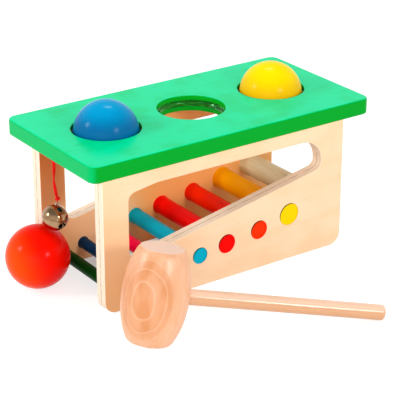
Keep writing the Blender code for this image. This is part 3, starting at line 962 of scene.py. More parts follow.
@dataclass(frozen=True)
class Beech(Finish):
    """Varnished beech: rings round a pith beside the piece, clear on its flat-sawn side, and short pores; its
    underside can take a painted shade.
    """

    origin: tuple[float, float, float]
    turn: tuple[float, float, float]
    pith: tuple[float, float, float]
    first_ring: float
    ring_pitch: float = 0.0022
    clear_depth: float = 0.0068
    light: Colour = (242, 184, 143)
    warm: Colour = (216, 136, 74)
    line: Colour = (252, 206, 176)
    end_grain: Colour = (255, 216, 196)
    pore: Colour = (196, 126, 82)
    roughness: float = 0.38
    pore_share: float = 0.45
    # The under colour is a painted shade for the underside, used as far as its share asks.
    under: Colour = (220, 162, 116)
    under_shade_share: float = 0.0
    wobble: float = 0.0014
    wobble_grain: float = 0.020
    fibre_grain: float = 0.0009
    cloud_grain: float = 0.010
    pore_grain: float = 0.00055
    relief: float = 0.00002

    def written(self, recipe: Recipe) -> bpy.types.Material:
        """Writes the beech's nodes, in the piece's own directions with the grain along Z.

        Args:
            recipe: The material's nodes, to be added to.

        Returns:
            The material.
        """
        place = recipe.place(self.origin, self.turn)
        wobble = (recipe.noise(place, self.wobble_grain) - 0.5) * self.wobble
        distance = recipe.distance(place, self.pith, (1, 1, 0)) + wobble
        ring = ((self.first_ring - distance) / self.ring_pitch).fraction()
        line = ring.ramp(0.18, 0.02) + ring.ramp(0.93, 1.0)
        fibres = recipe.noise(recipe.place(self.origin, self.turn, (1, 1, 16)), self.fibre_grain, 3.0)
        clouds = recipe.noise(recipe.place(self.origin, self.turn, (1, 1, 2.5)), self.cloud_grain)
        pores = recipe.noise(recipe.place(self.origin, self.turn, (1, 1, 4)), self.pore_grain, 1.0)
        pores = pores.ramp(0.66, 0.78)
        clear = distance.ramp(self.first_ring - self.clear_depth, self.first_ring - self.clear_depth * 0.35)
        tone = clear * 0.6 + clouds.ramp(0.35, 0.65) * 0.35 + ring * 0.12 - 0.08
        colour = recipe.blend(tone, self.light, self.warm)
        # Painted shade: the underside deepens towards the under colour.
        shaded_underside = recipe.leaning((0.0, 0.0, 1.0)).ramp(0.75, 0.40)
        colour = recipe.blend(shaded_underside * self.under_shade_share, colour, self.under)
        colour = recipe.blend(line * (0.05 + clear * 0.20), colour, self.line)
        colour = recipe.blend((fibres - 0.45) * 0.25, colour, self.pore)
        colour = recipe.blend(pores * self.pore_share * (0.3 + clouds), colour, self.pore)
        axis = tuple(Euler(self.turn).to_matrix() @ Vector((0.0, 0.0, 1.0)))
        colour = recipe.blend(recipe.leaning(axis).size().ramp(0.75, 0.97), colour, self.end_grain)
        roughness = self.roughness + (fibres - 0.5) * 0.10
        height = fibres * 0.5 - pores * 0.5
        return recipe.finish(colour, roughness, height, self.relief, Specular_IOR_Level=0.75)


@dataclass(frozen=True)
class BareWood(Finish):
    """A pale rod of unpainted wood with a lengthwise grain."""

    light: Colour
    shade: Colour
    fibre_grain: float = 0.0011
    cloud_grain: float = 0.02
    relief: float = 0.00003

    def written(self, recipe: Recipe) -> bpy.types.Material:
        """Writes the bare wood's nodes, with the grain along Y.

        Args:
            recipe: The material's nodes, to be added to.

        Returns:
            The material.
        """
        fibres = recipe.noise(recipe.place(stretch=(1, 18, 1)), self.fibre_grain, 3.0)
        clouds = recipe.noise(recipe.place(), self.cloud_grain)
        colour = recipe.blend(fibres.ramp(0.35, 0.70) * 0.7 + clouds * 0.3, self.light, self.shade)
        return recipe.finish(colour, 0.45, fibres, self.relief)


@dataclass(frozen=True)
class ClearElastic(Finish):
    """The clear, slightly cloudy plastic of the rings."""

    colour: Colour
    cloud_grain: float = 0.006
    relief: float = 0.0001

    def written(self, recipe: Recipe) -> bpy.types.Material:
        """Writes the clear plastic's nodes.

        Args:
            recipe: The material's nodes, to be added to.

        Returns:
            The material.
        """
        clouds = recipe.noise(recipe.place(), self.cloud_grain)
        colour = recipe.blend(clouds.ramp(0.3, 0.8) * 0.3, self.colour, (255, 255, 255))
        roughness = 0.05 + clouds * 0.05
        return recipe.finish(colour, roughness, clouds, self.relief, Transmission_Weight=1.0, IOR=1.32)


@dataclass(frozen=True)
class Metal(Finish):
    """Bare metal with a thin haze and fine scratches."""

    colour: Colour
    shade: Colour
    roughness: float
    haze_grain: float = 0.004
    scratch_grain: float = 0.0003
    relief: float = 0.000006

    def written(self, recipe: Recipe) -> bpy.types.Material:
        """Writes the metal's nodes.

        Args:
            recipe: The material's nodes, to be added to.

        Returns:
            The material.
        """
        haze = recipe.noise(recipe.place(), self.haze_grain, 3.0)
        scratches = recipe.noise(recipe.place(stretch=(1, 1, 8)), self.scratch_grain)
        colour = recipe.blend(haze.ramp(0.35, 0.7), self.colour, self.shade)
        roughness = self.roughness + (haze - 0.5) * 0.06 + (scratches - 0.5) * 0.04
        return recipe.finish(colour, roughness, haze * 0.8 + scratches * 0.2, self.relief, Metallic=1.0)


@dataclass(frozen=True)
class Yarn(Finish):
    """Dyed cotton cord with fine fibres across its twist."""

    colour: Colour
    shade: Colour
    lay: float = math.radians(40)
    fibre_grain: float = 0.00022
    relief: float = 0.0001

    def written(self, recipe: Recipe) -> bpy.types.Material:
        """Writes the yarn's nodes.

        Args:
            recipe: The material's nodes, to be added to.

        Returns:
            The material.
        """
        fibres = recipe.noise(recipe.place(turn=(0.0, self.lay, 0.0), stretch=(1, 1, 5)), self.fibre_grain)
        colour = recipe.blend(fibres.ramp(0.35, 0.7), self.colour, self.shade)
        return recipe.finish(colour, 0.75, fibres, self.relief, Specular_IOR_Level=0.2)


@dataclass
class TopBoard:
    """The lacquered top board with its grooved ball holes, and the elastic ring in each."""

    corner_radius: float = 0.0074
    edge_radius: float = 0.0014
    lip_radius: float = 0.0009
    hole_clearance: float = 0.0016
    groove_clearance: float = 0.0003
    seam_angle: float = math.radians(-62)
    seam_width: float = math.radians(1.6)
    finish: BoardLacquer = BoardLacquer("board_green", "top_board")
    ring_finish: ClearElastic = ClearElastic("ring_clear", (100, 212, 132))

    def hole_profile(self, board: Room, ring: Room) -> Profile:
        """Works out the profile of a ball hole.

        Args:
            board: The board's room.
            ring: The room of the ring in the hole.

        Returns:
            The (radius, height) points about the ring's middle, from below the board to above it.
        """
        half = board.size.z / 2
        tube = ring.size.z / 2
        ring_radius = ring.size.x / 2 - tube
        groove = tube + self.groove_clearance
        hole = Room.of("blue_ball").size.x / 2 + self.hole_clearance
        spread = math.acos((ring_radius - hole) / groove)
        lip = hole + self.lip_radius
        upper = arc((lip, half - self.lip_radius), self.lip_radius, math.pi, math.pi / 2, 5)
        walls = arc((ring_radius, 0.0), groove, spread - math.pi, math.pi - spread, 18)
        return both_ways([*upper, (lip, half + CUT_OVERRUN)], *walls)

    def build(self) -> None:
        """Builds and dresses the board and its rings."""
        board = Room.of("top_board")
        plate = Piece.block("lacquered_board", board.middle, board.size)

        def rise(edge: bmesh.types.BMEdge) -> float:
            """How far an edge rises."""
            return abs((edge.verts[0].co - edge.verts[1].co).z)

        plate.round_edges(lambda edge: rise(edge) > board.size.z / 2, self.corner_radius, 10)
        plate.round_edges(lambda edge: rise(edge) < WELD, self.edge_radius, 5)
        for side in ("left", "middle", "right"):
            ring = Room.of(f"{side}_ring")
            hole = Piece.turned(f"{side}_hole", self.hole_profile(board, ring), 96)
            plate.cut(hole.moved(Matrix.Translation(ring.middle)))
            self.build_ring(side, ring)
        plate.smoothed().dressed(self.finish, "bench", "green_lacquer", "top_board")

    def build_ring(self, side: str, ring: Room) -> None:
        """Builds one elastic ring: a round tube, drawn in a little where its ends are joined.

        Args:
            side: Which hole it sits in.
            ring: Its room.
        """
        tube = ring.size.z / 2
        radius = ring.size.x / 2 - tube
        bpy.ops.object.select_all(action="DESELECT")
        bpy.ops.mesh.primitive_torus_add(
            location=ring.middle,
            major_radius=radius,
            minor_radius=tube,
            major_segments=200,
            minor_segments=28,
        )
        piece = Piece(f"elastic_ring_{side}").settled()
        seam = ring.middle + Vector((math.cos(self.seam_angle), math.sin(self.seam_angle), 0.0)) * radius

        def at_seam(vertex: bmesh.types.BMVert) -> bool:
            """Tells whether a vertex is where the tube's ends are joined.

            Args:
                vertex: The vertex.

            Returns:
                Whether it is.
            """
            near = (vertex.co - seam).length < tube + radius * self.seam_width
            angle = math.atan2(*(vertex.co - ring.middle).yx) - self.seam_angle
            return near and abs(angle) < self.seam_width / 2

        with piece.shaping(Element.VERTEX):
            piece.choose(at_seam, Element.VERTEX)
            bpy.ops.transform.resize(value=(0.9, 0.9, 0.9), center_override=seam)
        piece.smoothed(60).dressed(self.ring_finish, "bench", "clear_elastic", f"{side}_ring")


class Side(Enum):
    """The two panels, by the way that each faces outwards along Y."""

    FRONT = -1
    BACK = 1


@dataclass
class Panels:
    """The two plywood side panels, each with a sloping window and the open holes of the rods."""

    foot_radius: float = 0.010
    top_radius: float = 0.002
    edge_radius: float = 0.0008
    window_corner_shares: tuple[tuple[float, float, float], ...] = (
        (-0.4018, 0.3262, 0.0700),
        (0.4040, 0.6333, 0.0600),
        (0.4040, 0.8565, 0.1720),
        (-0.2902, 0.8565, 0.3000),
        (-0.4018, 0.8219, 0.0600),
    )

    def build(self, rods: "CrossRods") -> None:
        """Builds both panels.

        Args:
            rods: The cross rods, which say where holes go right through.
        """
        for side in Side:
            self.build_one(side, rods)

    def build_one(self, side: Side, rods: "CrossRods") -> None:
        """Builds one panel.

        Args:
            side: Which one.
            rods: The cross rods.
        """
        name = f"{side.name.lower()}_panel"
        panel = Room.of(name)
        length, thickness, height = panel.size
        half = length / 2
        foot, top = self.foot_radius, self.top_radius
        corners = [(-half, 0.0, foot), (half, 0.0, foot), (half, height, top), (-half, height, top)]
        window = [(x * length, z * height, r * height) for x, z, r in self.window_corner_shares]
        plate = Piece.sawn(f"plywood_{name}", corners, thickness)
        plate.cut(Piece.sawn("window", window, thickness + CUT_OVERRUN))
        sanding = {"segments": 3, "limit_method": "ANGLE", "angle_limit": math.radians(50)}
        plate.apply(plate.modifier("BEVEL", "sanded edges", width=self.edge_radius, **sanding))
        plate.moved(laid_along_y((panel.middle.x, panel.middle.y, 0.0)))
        for rod in rods.open_rods():
            plate.cut(rods.drill(rod, panel))
        finish = Plywood(f"plywood_{side.name.lower()}", panel.middle.y, thickness, side.value)
        plate.smoothed().dressed(finish, "bench", "plywood", name)


class Fixing(Enum):
    """How a rod's ends sit in the panels."""

    BLIND = "blind"
    THROUGH = "through"


@dataclass(frozen=True)
class Rod:
    """One cross rod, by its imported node."""

    node: str
    fixing: Fixing
    slot: str
    finish: Finish


def painted(name: str, body: Colour, end: Colour, fixing: Fixing = Fixing.THROUGH) -> Rod:
    """A painted cross rod, by its colour's name."""
    node = f"rod_{name}"
    return Rod(node, fixing, f"{name}_paint", RodPaint(f"{node}_paint", body, end, node))


@dataclass
class CrossRods:
    """The turned cross rods that the balls roll down, painted but for the highest one."""

    end_share: float = 1.035
    end_gap: float = 0.0003
    end_round: float = 0.0002
    collar_length: float = 0.0034
    collar_neck: float = 0.0012
    neck_steps: int = 6
    recess: float = 0.0008
    paint: float = 0.00012
    steps: int = 64
    rods: tuple[Rod, ...] = (
        Rod(
            "rod_pale", Fixing.BLIND, "bare_wood", BareWood("rod_bare_wood", (232, 234, 200), (220, 212, 172))
        ),
        # Each painted rod's first colour is its paint in painted shade, for the part inside the bench, and
        # its second the same paint lit, for its ends.
        painted("yellow", (255, 176, 0), (255, 212, 0)),
        painted("orange", (255, 36, 0), (255, 48, 0)),
        painted("red", (255, 4, 0), (255, 2, 0)),
        painted("teal", (0, 178, 206), (0, 178, 208)),
        painted("pink", (255, 0, 66), (255, 0, 70)),
        painted("navy", (0, 50, 92), (0, 54, 100)),
        painted("green", (0, 66, 12), (0, 84, 20), Fixing.BLIND),
    )

    def open_rods(self) -> list[Rod]:
        """The rods whose ends show on the panels' outer faces."""
        return [rod for rod in self.rods if rod.fixing is Fixing.THROUGH]

    def hole_radius(self, rod: Rod) -> float:
        """The radius of the hole that a rod's end sits in."""
        return Room.of(rod.node).size.x / 2 + self.end_gap

    def drill(self, rod: Rod, panel: Room) -> Piece:
        """A cutter for a rod's hole through a panel.

        Args:
            rod: The rod.
            panel: The panel's room.

        Returns:
            The cutter, in place.
        """
        reach = panel.size.y / 2 + CUT_OVERRUN
        radius = self.hole_radius(rod)
        tool = Piece.turned(f"hole_of_{rod.node}", [(radius, -reach), (radius, reach)], self.steps)
        middle = Room.of(rod.node).middle
        return tool.moved(laid_along_y((middle.x, panel.middle.y, middle.z)))

    def profile(self, rod: Rod) -> Profile:
        """Works out a rod's profile: its thicker ends, which start inside the bench and fill their holes.

        Args:
            rod: The rod.

        Returns:
            The (radius, height) points, from the lower end's rim to the upper end's.
        """
        room = Room.of(rod.node)
        thick = room.size.x / 2
        radius = thick / self.end_share
        panel = Room.of("back_panel")
        inner = panel.low.y - room.middle.y
        collar = inner - self.collar_length
        shares = [i / self.neck_steps for i in range(self.neck_steps + 1)]
        swell = [(thick - radius) * (1 - math.cos(math.pi * share)) / 2 for share in shares]
        neck = [(radius + rise, collar + self.collar_neck * share) for rise, share in zip(swell, shares)]
        if rod.fixing is Fixing.BLIND:
            upper = [*neck, (thick, inner + self.recess)]
        else:
            outer = panel.high.y - room.middle.y
            wall = self.hole_radius(rod) - self.paint / 4
            bed = outer - self.recess
            upper = [
                *neck,
                (thick, inner - self.end_round),
                (wall, inner),
                (wall, outer - self.paint),
                (wall - self.paint, outer - self.paint),
                (wall - self.paint, bed),
                (wall - self.paint - self.end_round, bed + self.end_round / 2),
            ]
        return both_ways(upper)

    def build(self) -> None:
        """Builds and dresses every rod."""
        for rod in self.rods:
            piece = Piece.turned(f"turned_{rod.node}", self.profile(rod), self.steps)
            piece.moved(laid_along_y(Room.of(rod.node).middle))
            piece.smoothed(50).dressed(rod.finish, "bench", rod.slot, rod.node)


@dataclass
class Balls:
    """The three lacquered wooden balls."""

    # Each ball's first colour is its lacquer lit, and its second the same lacquer in painted shade. The red
    # ball's orange side is a painted light.
    finishes: tuple[tuple[str, str, Lacquer], ...] = (
        ("blue_ball", "blue_lacquer", Lacquer("ball_blue", (0, 161, 214), (0, 104, 162), shade_until=0.35)),
        (
            "yellow_ball",
            "yellow_lacquer",
            Lacquer("ball_yellow", (255, 230, 0), (255, 186, 0), shade_until=0.15),
        ),
        (
            "red_ball",
            "red_lacquer",
            Lacquer("ball_red", (255, 74, 0), (255, 14, 0), (-0.80, 0.48, -0.36), -0.4, 0.8),
        ),
    )

    def build(self) -> None:
        """Builds and dresses every ball."""
        for node, slot, finish in self.finishes:
            room = Room.of(node)
            piece = Piece.ball(f"lacquered_{node}", room.middle, room.size.z / 2)
            piece.smoothed(60).dressed(finish, node, slot, node)


@dataclass
class HangingBell:
    """The bell at the low end: its screw eye, doubled cord, knot, wire loop and slotted shell."""

    eye_wire: float = 0.0012
    eye_radius: float = 0.0019
    eye_opening: float = math.radians(24)
    strand: float = 0.00118
    cord_diameter: float = 0.0024
    cord_top: float = -0.0028
    twist: float = math.radians(300)
    cord_strays: tuple[float, ...] = (0.0, 0.00025, 0.0003, 0.0001, -0.0002, -0.0001, 0.0004, 0.0010, 0.0016)
    knot_strand: float = 0.00125
    radius: float = 0.010
    wall: float = 0.0008
    seam_width: float = 0.0011
    seam_proud: float = 0.00025
    seam_groove: float = 0.00008
    slot_width: float = 0.0014
    slot_hole: float = 0.0036
    slot_height_share: float = 0.36
    tilt: float = math.radians(13.0)
    loop_wire: float = 0.0009
    loop_radius: float = 0.0015
    loop_height: float = 0.0027
    loop_foot: float = 0.0016
    nickel: Metal = Metal("bell_nickel", (176, 142, 108), (152, 121, 90), 0.11)
    steel: Metal = Metal("bright_steel", (196, 192, 186), (178, 174, 168), 0.25)
    yarn: Yarn = Yarn("cord_red", (250, 16, 14), (214, 4, 4))

    def build(self, joints: Sequence[dict[str, Any]]) -> None:
        """Builds everything that hangs from the screw eye.

        Args:
            joints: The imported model's joints, which say where the cord and the bell are hung.
        """
        places = {joint["name"]: Vector(joint["pos_m"]) for joint in joints if "pos_m" in joint}
        self.build_eye(places["cord_swing"])
        self.build_cord(places["cord_swing"])
        self.build_bell(places["bell_swing"])

    def build_eye(self, pivot: Vector) -> None:
        """Builds the screw eye: a bent wire ring with its neck.

        Args:
            pivot: The ring's middle.
        """
        ring = arc((pivot.x, pivot.z), self.eye_radius, math.pi / 2, 2.5 * math.pi - self.eye_opening, 28)
        neck = (pivot.x, Room.of("screw_eye").high.z)
        points = [Vector((x, pivot.y, z)) for x, z in (neck, *ring)]
        piece = Piece.wire("bent_screw_eye", points, self.eye_wire)
        piece.smoothed(50).dressed(self.steel, "bench", "steel", "screw_eye")

    def cord_route(self, pivot: Vector) -> list[Vector]:
        """Works out the points down the middle of the cord.

        Args:
            pivot: The screw eye's middle, where the cord hangs.

        Returns:
            The points, from the eye to the knot.
        """
        bottom = Room.of("bell_cord").low.z - pivot.z
        last = len(self.cord_strays) - 1
        heights = [self.cord_top + (bottom - self.cord_top) * i / last for i in range(last + 1)]
        return [pivot + Vector((stray, 0.0, height)) for stray, height in zip(self.cord_strays, heights)]

    def smooth_point(self, route: list[Vector], share: float) -> Vector:
        """A point on the smooth curve through the route.

        Args:
            route: The route's points.
            share: How far along it the point is, from 0 to 1.

        Returns:
            The point.
        """
        reach = share * (len(route) - 1)
        index = min(int(reach), len(route) - 2)
        t = reach - index
        before = route[max(index - 1, 0)]
        one, two = route[index], route[index + 1]
        after = route[min(index + 2, len(route) - 1)]
        return 0.5 * (
            2 * one
            + (two - before) * t
            + (2 * before - 5 * one + 4 * two - after) * t**2
            + (3 * one - before - 3 * two + after) * t**3
        )

    def build_cord(self, pivot: Vector) -> None:
        """Builds the doubled cord, one strand that goes up, over the eye and down again, and its knot.

        Args:
            pivot: The screw eye's middle, where the cord hangs.
        """
        route = self.cord_route(pivot)
        steps = 60
        down = []
        for i in range(steps + 1):
            share = i / steps
            angle = self.twist * share + math.pi / 2
            spread = self.strand * (0.52 + 0.5 * max(0.0, 1 - share * 9))
            offset = Vector((math.cos(angle), math.sin(angle), 0.0)) * spread
            down.append((self.smooth_point(route, share), offset))
        over = self.eye_wire / 2 + self.strand / 2
        wire_middle = pivot - Vector((0.0, 0.0, self.eye_radius))
        crown = [wire_middle + Vector((0.0, -y, z)) for y, z in arc((0.0, 0.0), over, 0.0, math.pi, 10)[1:-1]]
        up = [middle - offset for middle, offset in reversed(down)]
        strand = up + crown + [middle + offset for middle, offset in down]
        cord = Piece.wire("doubled_cord", strand, self.strand)
        cord.smoothed(60).dressed(self.yarn, "cord", "red_cord", "bell_cord")
        knot = self.build_knot()
        sum((two - one).length for one, two in zip(route, route[1:]))
        [tuple(self.smooth_point(route, i / steps)) for i in range(steps + 1)]

    def build_knot(self) -> Piece:
        """Builds the knot: one closed strand drawn round in three crossing loops.

        Returns:
            The knot.
        """
        room = Room.of("cord_knot")
        steps = 96
        wide = (room.size.x - self.knot_strand) / 6
        tall = (room.size.z - self.knot_strand) / 2
        points = []
        for i in range(steps):
            a = 2 * math.pi * i / steps
            x = (math.sin(a) + 2 * math.sin(2 * a)) * wide
            z = (math.cos(a) - 2 * math.cos(2 * a)) / 3 * tall
            points.append(room.middle + Vector((x, -math.sin(3 * a) * wide * 1.6, z)))
        knot = Piece.wire("tied_knot", points, self.knot_strand, closed=True)
        return knot.smoothed(60).dressed(self.yarn, "cord", "red_cord", "cord_knot")

    def build_bell(self, pivot: Vector) -> None:
        """Builds the bell's slotted shell with its seam, and its wire loop.

        Args:
            pivot: The top of the wire loop's inside, which the bell swings about.
        """
        radius = self.radius
        hang = Matrix.Translation(pivot) @ Matrix.Rotation(self.tilt, 4, "Y")
        drop = self.loop_height - self.loop_wire + radius
        half_seam = self.seam_width / 2
        rise = math.asin(half_seam / radius)
        dome = arc((0.0, 0.0), radius, rise, math.radians(89.3), 22)
        lip = (radius + self.seam_proud, half_seam * 0.7)
        upper = [(lip[0], self.seam_groove), lip, *dome]
        profile = both_ways(upper, (radius + self.seam_proud * 0.45, 0.0))
        shell = Piece.turned("bell_dome", profile, 96)
        hollow = Piece.ball("hollow", Vector(), radius - self.wall, 4)
        low = -radius * self.slot_height_share
        slot_size = Vector((self.slot_width, 3 * radius, radius))
        slot = Piece.block("slot", Vector((0.0, 0.0, low - radius / 2)), slot_size)
        hole = Piece.turned("slot_holes", both_ways([(self.slot_hole / 2, 1.5 * radius)]), 40)
        hole.moved(laid_along_y((0.0, 0.0, low)))
        shell.cut(hollow, slot, hole)
        shell.moved(hang @ Matrix.Translation((0.0, 0.0, -drop)))
        shell.smoothed(30).dressed(self.nickel, "bell", "nickel", "bell_shell")
        foot = self.loop_height + self.loop_foot - self.loop_wire
        centre = -self.loop_radius + self.loop_wire / 2
        bend = arc((0.0, centre), self.loop_radius, math.pi, 0.0, 20)
        route = [(-self.loop_radius * 0.8, -foot), *bend, (self.loop_radius * 0.8, -foot)]
        loop = Piece.wire("bell_wire", [hang @ Vector((x, 0.0, z)) for x, z in route], self.loop_wire)
        loop.smoothed(50).dressed(self.steel, "bell", "nickel", "bell_loop")


@dataclass
class Hammer:
    """The barrel-shaped hammer, lying on its head's rim and its handle's end."""

    yaw: float = math.radians(-23.6)
    pitch: float = math.radians(10.732)
    roll: float = math.radians(-8.0)
    head_length: float = 0.0704
    head_end: float = 0.0164
    head_belly: float = 0.0245
    head_edge: float = 0.0010
    fullness: float = 2.3
    handle_radius: float = 0.00585
    handle_reach: float = 0.1734
    handle_end_radius: float = 0.0022
    socket_share: float = 0.45
    pith_distance: float = 0.030
    pith_bearing: float = math.radians(57.0)
    first_ring: float = 0.0536
    handle_pith: tuple[float, float, float] = (0.031, 0.012, 0.0)
    handle_ring: float = 0.04
    socket_gap: float = 0.0001
    socket_room: float = 0.00002
    inset: float = 0.00004

    @property
    def turn(self) -> Matrix:
        """The turn from the hammer's own directions, its handle along X and its head along Z."""
        turn = Matrix.Rotation(self.yaw, 4, "Z") @ Matrix.Rotation(self.pitch, 4, "Y")
        return turn @ Matrix.Rotation(self.roll, 4, "X")

    def build(self) -> None:
        """Builds and dresses the head and the handle."""
        head = self.build_head()
        middle = Room.of("hammer_head").middle + Vector((0.0, self.inset, self.inset))
        place = Matrix.Translation(middle - head.moved(self.turn).room().middle)
        head.moved(place)
        handle = self.build_handle().moved(place @ self.turn)
        pivot = place.translation
        euler = tuple(self.turn.to_euler())
        bearing = self.pith_bearing
        head_wood = Beech(
            "beech_head",
            tuple(pivot),
            euler,
            (self.pith_distance * math.cos(bearing), self.pith_distance * math.sin(bearing), 0.0),
            self.first_ring,
        )
        along = (self.turn @ Matrix.Rotation(math.pi / 2, 4, "Y")).to_euler()
        handle_wood = Beech(
            "beech_handle",
            tuple(pivot),
            tuple(along),
            self.handle_pith,
            self.handle_ring,
            light=(255, 218, 192),
            warm=(252, 204, 172),
            # The handle's underside takes its full painted shade.
            under_shade_share=1.0,
            roughness=0.24,
        )
        head.smoothed(50).dressed(head_wood, "hammer", "beech", "hammer_head")
        handle.smoothed(50).dressed(handle_wood, "hammer", "beech", "hammer_handle")

    def build_head(self) -> Piece:
        """Turns the head, a barrel with rounded rims, and drills the handle's socket.

        Returns:
            The head about the origin, its axis along Z.
        """
        half = self.head_length / 2
        steps = 40
        heights = [half * (2 * i / steps - 1) for i in range(1, steps)]
        heights = [z for z in heights if abs(z) < half - self.head_edge]
        swell = self.head_belly - self.head_end
        side = [(self.head_end + swell * (1 - abs(z / half) ** self.fullness), z) for z in heights]
        rim = rounded_rim(self.head_end, half, self.head_edge, 5)
        head = Piece.turned("barrel_head", both_ways(rim, *side), 112)
        depths = (-self.head_belly * self.socket_share, 2 * self.head_belly)
        drill = Piece.turned("socket", [(self.handle_radius, depth) for depth in depths], 64)
        return head.cut(drill.moved(Matrix.Rotation(math.pi / 2, 4, "Y")))

    def build_handle(self) -> Piece:
        """Turns the handle with its rounded end.

        Returns:
            The handle along X.
        """
        inner = self.socket_gap - self.head_belly * self.socket_share
        rim = rounded_rim(self.handle_radius, self.handle_reach, self.handle_end_radius, 8)
        seated = self.handle_radius - self.socket_room
        handle = Piece.turned("round_handle", [(seated, inner), (seated, inner / 2), *rim], 64)
        return handle.moved(Matrix.Rotation(math.pi / 2, 4, "Y"))


@dataclass(frozen=True)
class Lamp:
    """A soft lamp that looks at the bench from a bearing and a height above the horizon."""

    name: str
    bearing: float
    height: float
    width: float
    depth: float
    glow: float
    distance: float = 1.3
    mirrored: bool = True

    def hang(self, target: Vector) -> None:
        """Hangs the lamp.

        Args:
            target: The point that it shines at.
        """
        bearing, height = math.radians(self.bearing), math.radians(self.height)
        level = math.cos(height)
        way = Vector((math.cos(bearing) * level, math.sin(bearing) * level, math.sin(height)))
        bpy.ops.object.light_add(type="AREA", location=target + way * self.distance)
        lamp = bpy.context.object
        lamp.name = self.name
        lamp.data.shape = "RECTANGLE"
        lamp.data.size = self.width
        lamp.data.size_y = self.depth
        lamp.data.energy = self.glow * math.pi * self.width * self.depth
        lamp.rotation_euler = way.to_track_quat("Z", "Y").to_euler()
        lamp.visible_glossy = self.mirrored


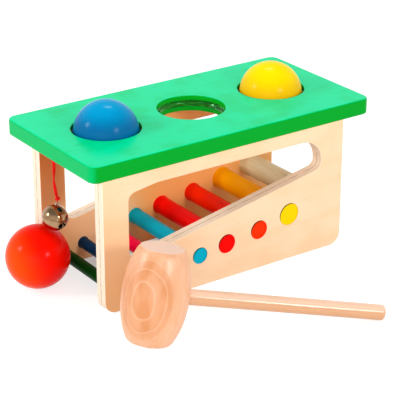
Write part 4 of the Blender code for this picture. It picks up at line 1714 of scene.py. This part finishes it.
@dataclass
class Studio:
    """The camera, the soft lamps, the white surround and the pale floor."""

    image_width: float = 400.0
    focal_pixels: float = 1599.39
    sensor: float = 36.0
    camera_from_board: tuple[float, float, float] = (-0.65938, -0.95550, 0.55526)
    camera_pitch: float = math.radians(66.351)
    camera_turn: float = math.radians(-34.952)
    horizon: float = 1.20
    zenith: float = 0.35
    horizon_top: float = 0.22
    zenith_start: float = 0.80
    floor_glow: float = 0.72
    shaded_glow: float = 0.32
    shade_start: float = 0.026
    shade_fade: float = 0.014
    floor_colour: Colour = (190, 190, 190)
    floor_bounce: Colour = (232, 232, 232)
    floor_size: float = 12.0
    floor_drop: float = 0.0002
    nearest_view: float = 0.01
    lit_point: tuple[float, float, float] = (0.0, 0.03, 0.06)
    lamps: tuple[Lamp, ...] = (
        Lamp("overhead_lamp", 55.0, 64.7, 0.34, 0.18, 16.0),
        Lamp("left_lamp", 159.0, 27.3, 0.22, 0.22, 29.0),
        Lamp("front_lamp", -85.8, 24.0, 0.24, 0.24, 25.0),
        Lamp("low_lamp", -142.0, 9.0, 1.00, 0.60, 1.8, mirrored=False),
        Lamp("back_lamp", 70.0, 25.0, 1.60, 1.00, 0.35, 1.6, False),
    )

    def set_camera(self) -> None:
        """Sets the camera where the photograph was taken from."""
        board = Room.of("top_board").middle
        x, y, height = self.camera_from_board
        bpy.ops.object.camera_add(
            location=(board.x + x, board.y + y, height), rotation=(self.camera_pitch, 0.0, self.camera_turn)
        )
        camera = bpy.context.object
        camera.name = "photo_camera"
        camera.data.sensor_width = self.sensor
        camera.data.lens = self.focal_pixels / self.image_width * self.sensor
        camera.data.clip_start = self.nearest_view
        bpy.context.scene.camera = camera

    def light(self) -> None:
        """Hangs the lamps and makes the surround: white to the eye, plain and soft to the object."""
        for lamp in self.lamps:
            lamp.hang(Vector(self.lit_point))
        world = bpy.context.scene.world or bpy.data.worlds.new("surround")
        bpy.context.scene.world = world
        sheet = Sheet(world)
        way = sheet.node("ShaderNodeTexCoord").outputs["Generated"]
        overhead = sheet.axis(way, "Z").ramp(self.horizon_top, self.zenith_start)
        level = self.horizon - overhead * (self.horizon - self.zenith)
        mirrored = sheet.reading("ShaderNodeLightPath", None, {}, "Is Glossy Ray")
        level = level.worked("MINIMUM", level, self.horizon - mirrored * (self.horizon - 1.0))
        soft = sheet.node("ShaderNodeBackground", None, {"Color": WHITE, "Strength": level})
        white = sheet.node("ShaderNodeBackground", None, {"Color": WHITE, "Strength": 1.0})
        parts = {0: sheet.seen(False), 1: soft.outputs[0], 2: white.outputs[0]}
        mix = sheet.node("ShaderNodeMixShader", None, parts)
        sheet.node("ShaderNodeOutputWorld", None, {"Surface": mix.outputs[0]})

    def lay_floor(self) -> None:
        """Lays the floor: white to the eye where it is lit, with the object's soft shadow, and a painted
        shade under the bench where its glow is lowered.
        """
        bpy.ops.object.select_all(action="DESELECT")
        bpy.ops.mesh.primitive_plane_add(size=self.floor_size, location=(0.0, 0.0, -self.floor_drop))
        floor = Piece("floor").settled()
        recipe = Recipe("floor_paper")
        bounce = recipe.node("ShaderNodeBsdfDiffuse", None, {"Color": linear(self.floor_bounce)})
        paper = recipe.node("ShaderNodeBsdfDiffuse", None, {"Color": linear(self.floor_colour)})
        # Painted shade: under the bench the floor's glow is lowered.
        front, back = Room.of("front_panel"), Room.of("back_panel")
        length = front.size.x - self.shade_start
        width = back.high.y - front.low.y
        under = recipe.place((front.high.x - length / 2, back.high.y - width / 2, 0.0))
        shaded = recipe.axis(under, "X").size().ramp(length / 2, length / 2 - self.shade_fade)
        shaded = shaded * recipe.axis(under, "Y").size().ramp(width / 2, width / 2 - self.shade_fade)
        strength = self.floor_glow - shaded * (self.floor_glow - self.shaded_glow)
        glow = recipe.node("ShaderNodeEmission", None, {"Strength": strength})
        lit = recipe.node("ShaderNodeAddShader", None, {0: paper.outputs[0], 1: glow.outputs[0]})
        parts = {0: recipe.seen(), 1: bounce.outputs[0], 2: lit.outputs[0]}
        mix = recipe.node("ShaderNodeMixShader", None, parts)
        recipe.tree.links.new(mix.outputs[0], recipe.output.inputs["Surface"])
        recipe.tree.nodes.remove(recipe.shader)
        floor.made.data.materials.append(recipe.made)


def dress_hidden_nodes(nodes: dict[str, bpy.types.Object], finishes: dict[str, Finish]) -> None:
    """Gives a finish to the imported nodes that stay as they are.

    Args:
        nodes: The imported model's objects.
        finishes: The finish of each kind of node, by a part of its name.
    """
    for name, node in nodes.items():
        for mark, finish in finishes.items():
            if mark in name:
                node.data.materials.clear()
                node.data.materials.append(finish.material())


def main() -> None:
    """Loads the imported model, then builds and dresses each sub-assembly around it."""
    logging.basicConfig(level=logging.INFO, format="%(name)s: %(message)s")
    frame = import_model()
    bpy.context.scene.view_settings.view_transform = "Standard"

    studio = Studio()
    studio.set_camera()
    LOG.info("camera set")
    bell = HangingBell()
    bell.build(frame["joints"])
    LOG.info("screw eye, cord and bell built")
    TopBoard().build()
    LOG.info("board and rings built")
    rods = CrossRods()
    Panels().build(rods)
    LOG.info("panels built")
    rods.build()
    LOG.info("cross rods built")
    Balls().build()
    LOG.info("balls built")
    Hammer().build()
    LOG.info("hammer built")
    pin_wood = Beech("beech_pins", (0, 0, 0), (0, 0, 0), PIN_PITH, PIN_RING)
    dress_hidden_nodes(frame["nodes"], {"_pin_": pin_wood, "bell_pellet": bell.steel})
    studio.light()
    studio.lay_floor()
    LOG.info("lamps, surround and floor set")
    bpy.context.view_layer.update()


if __name__ == "__main__":
    main()
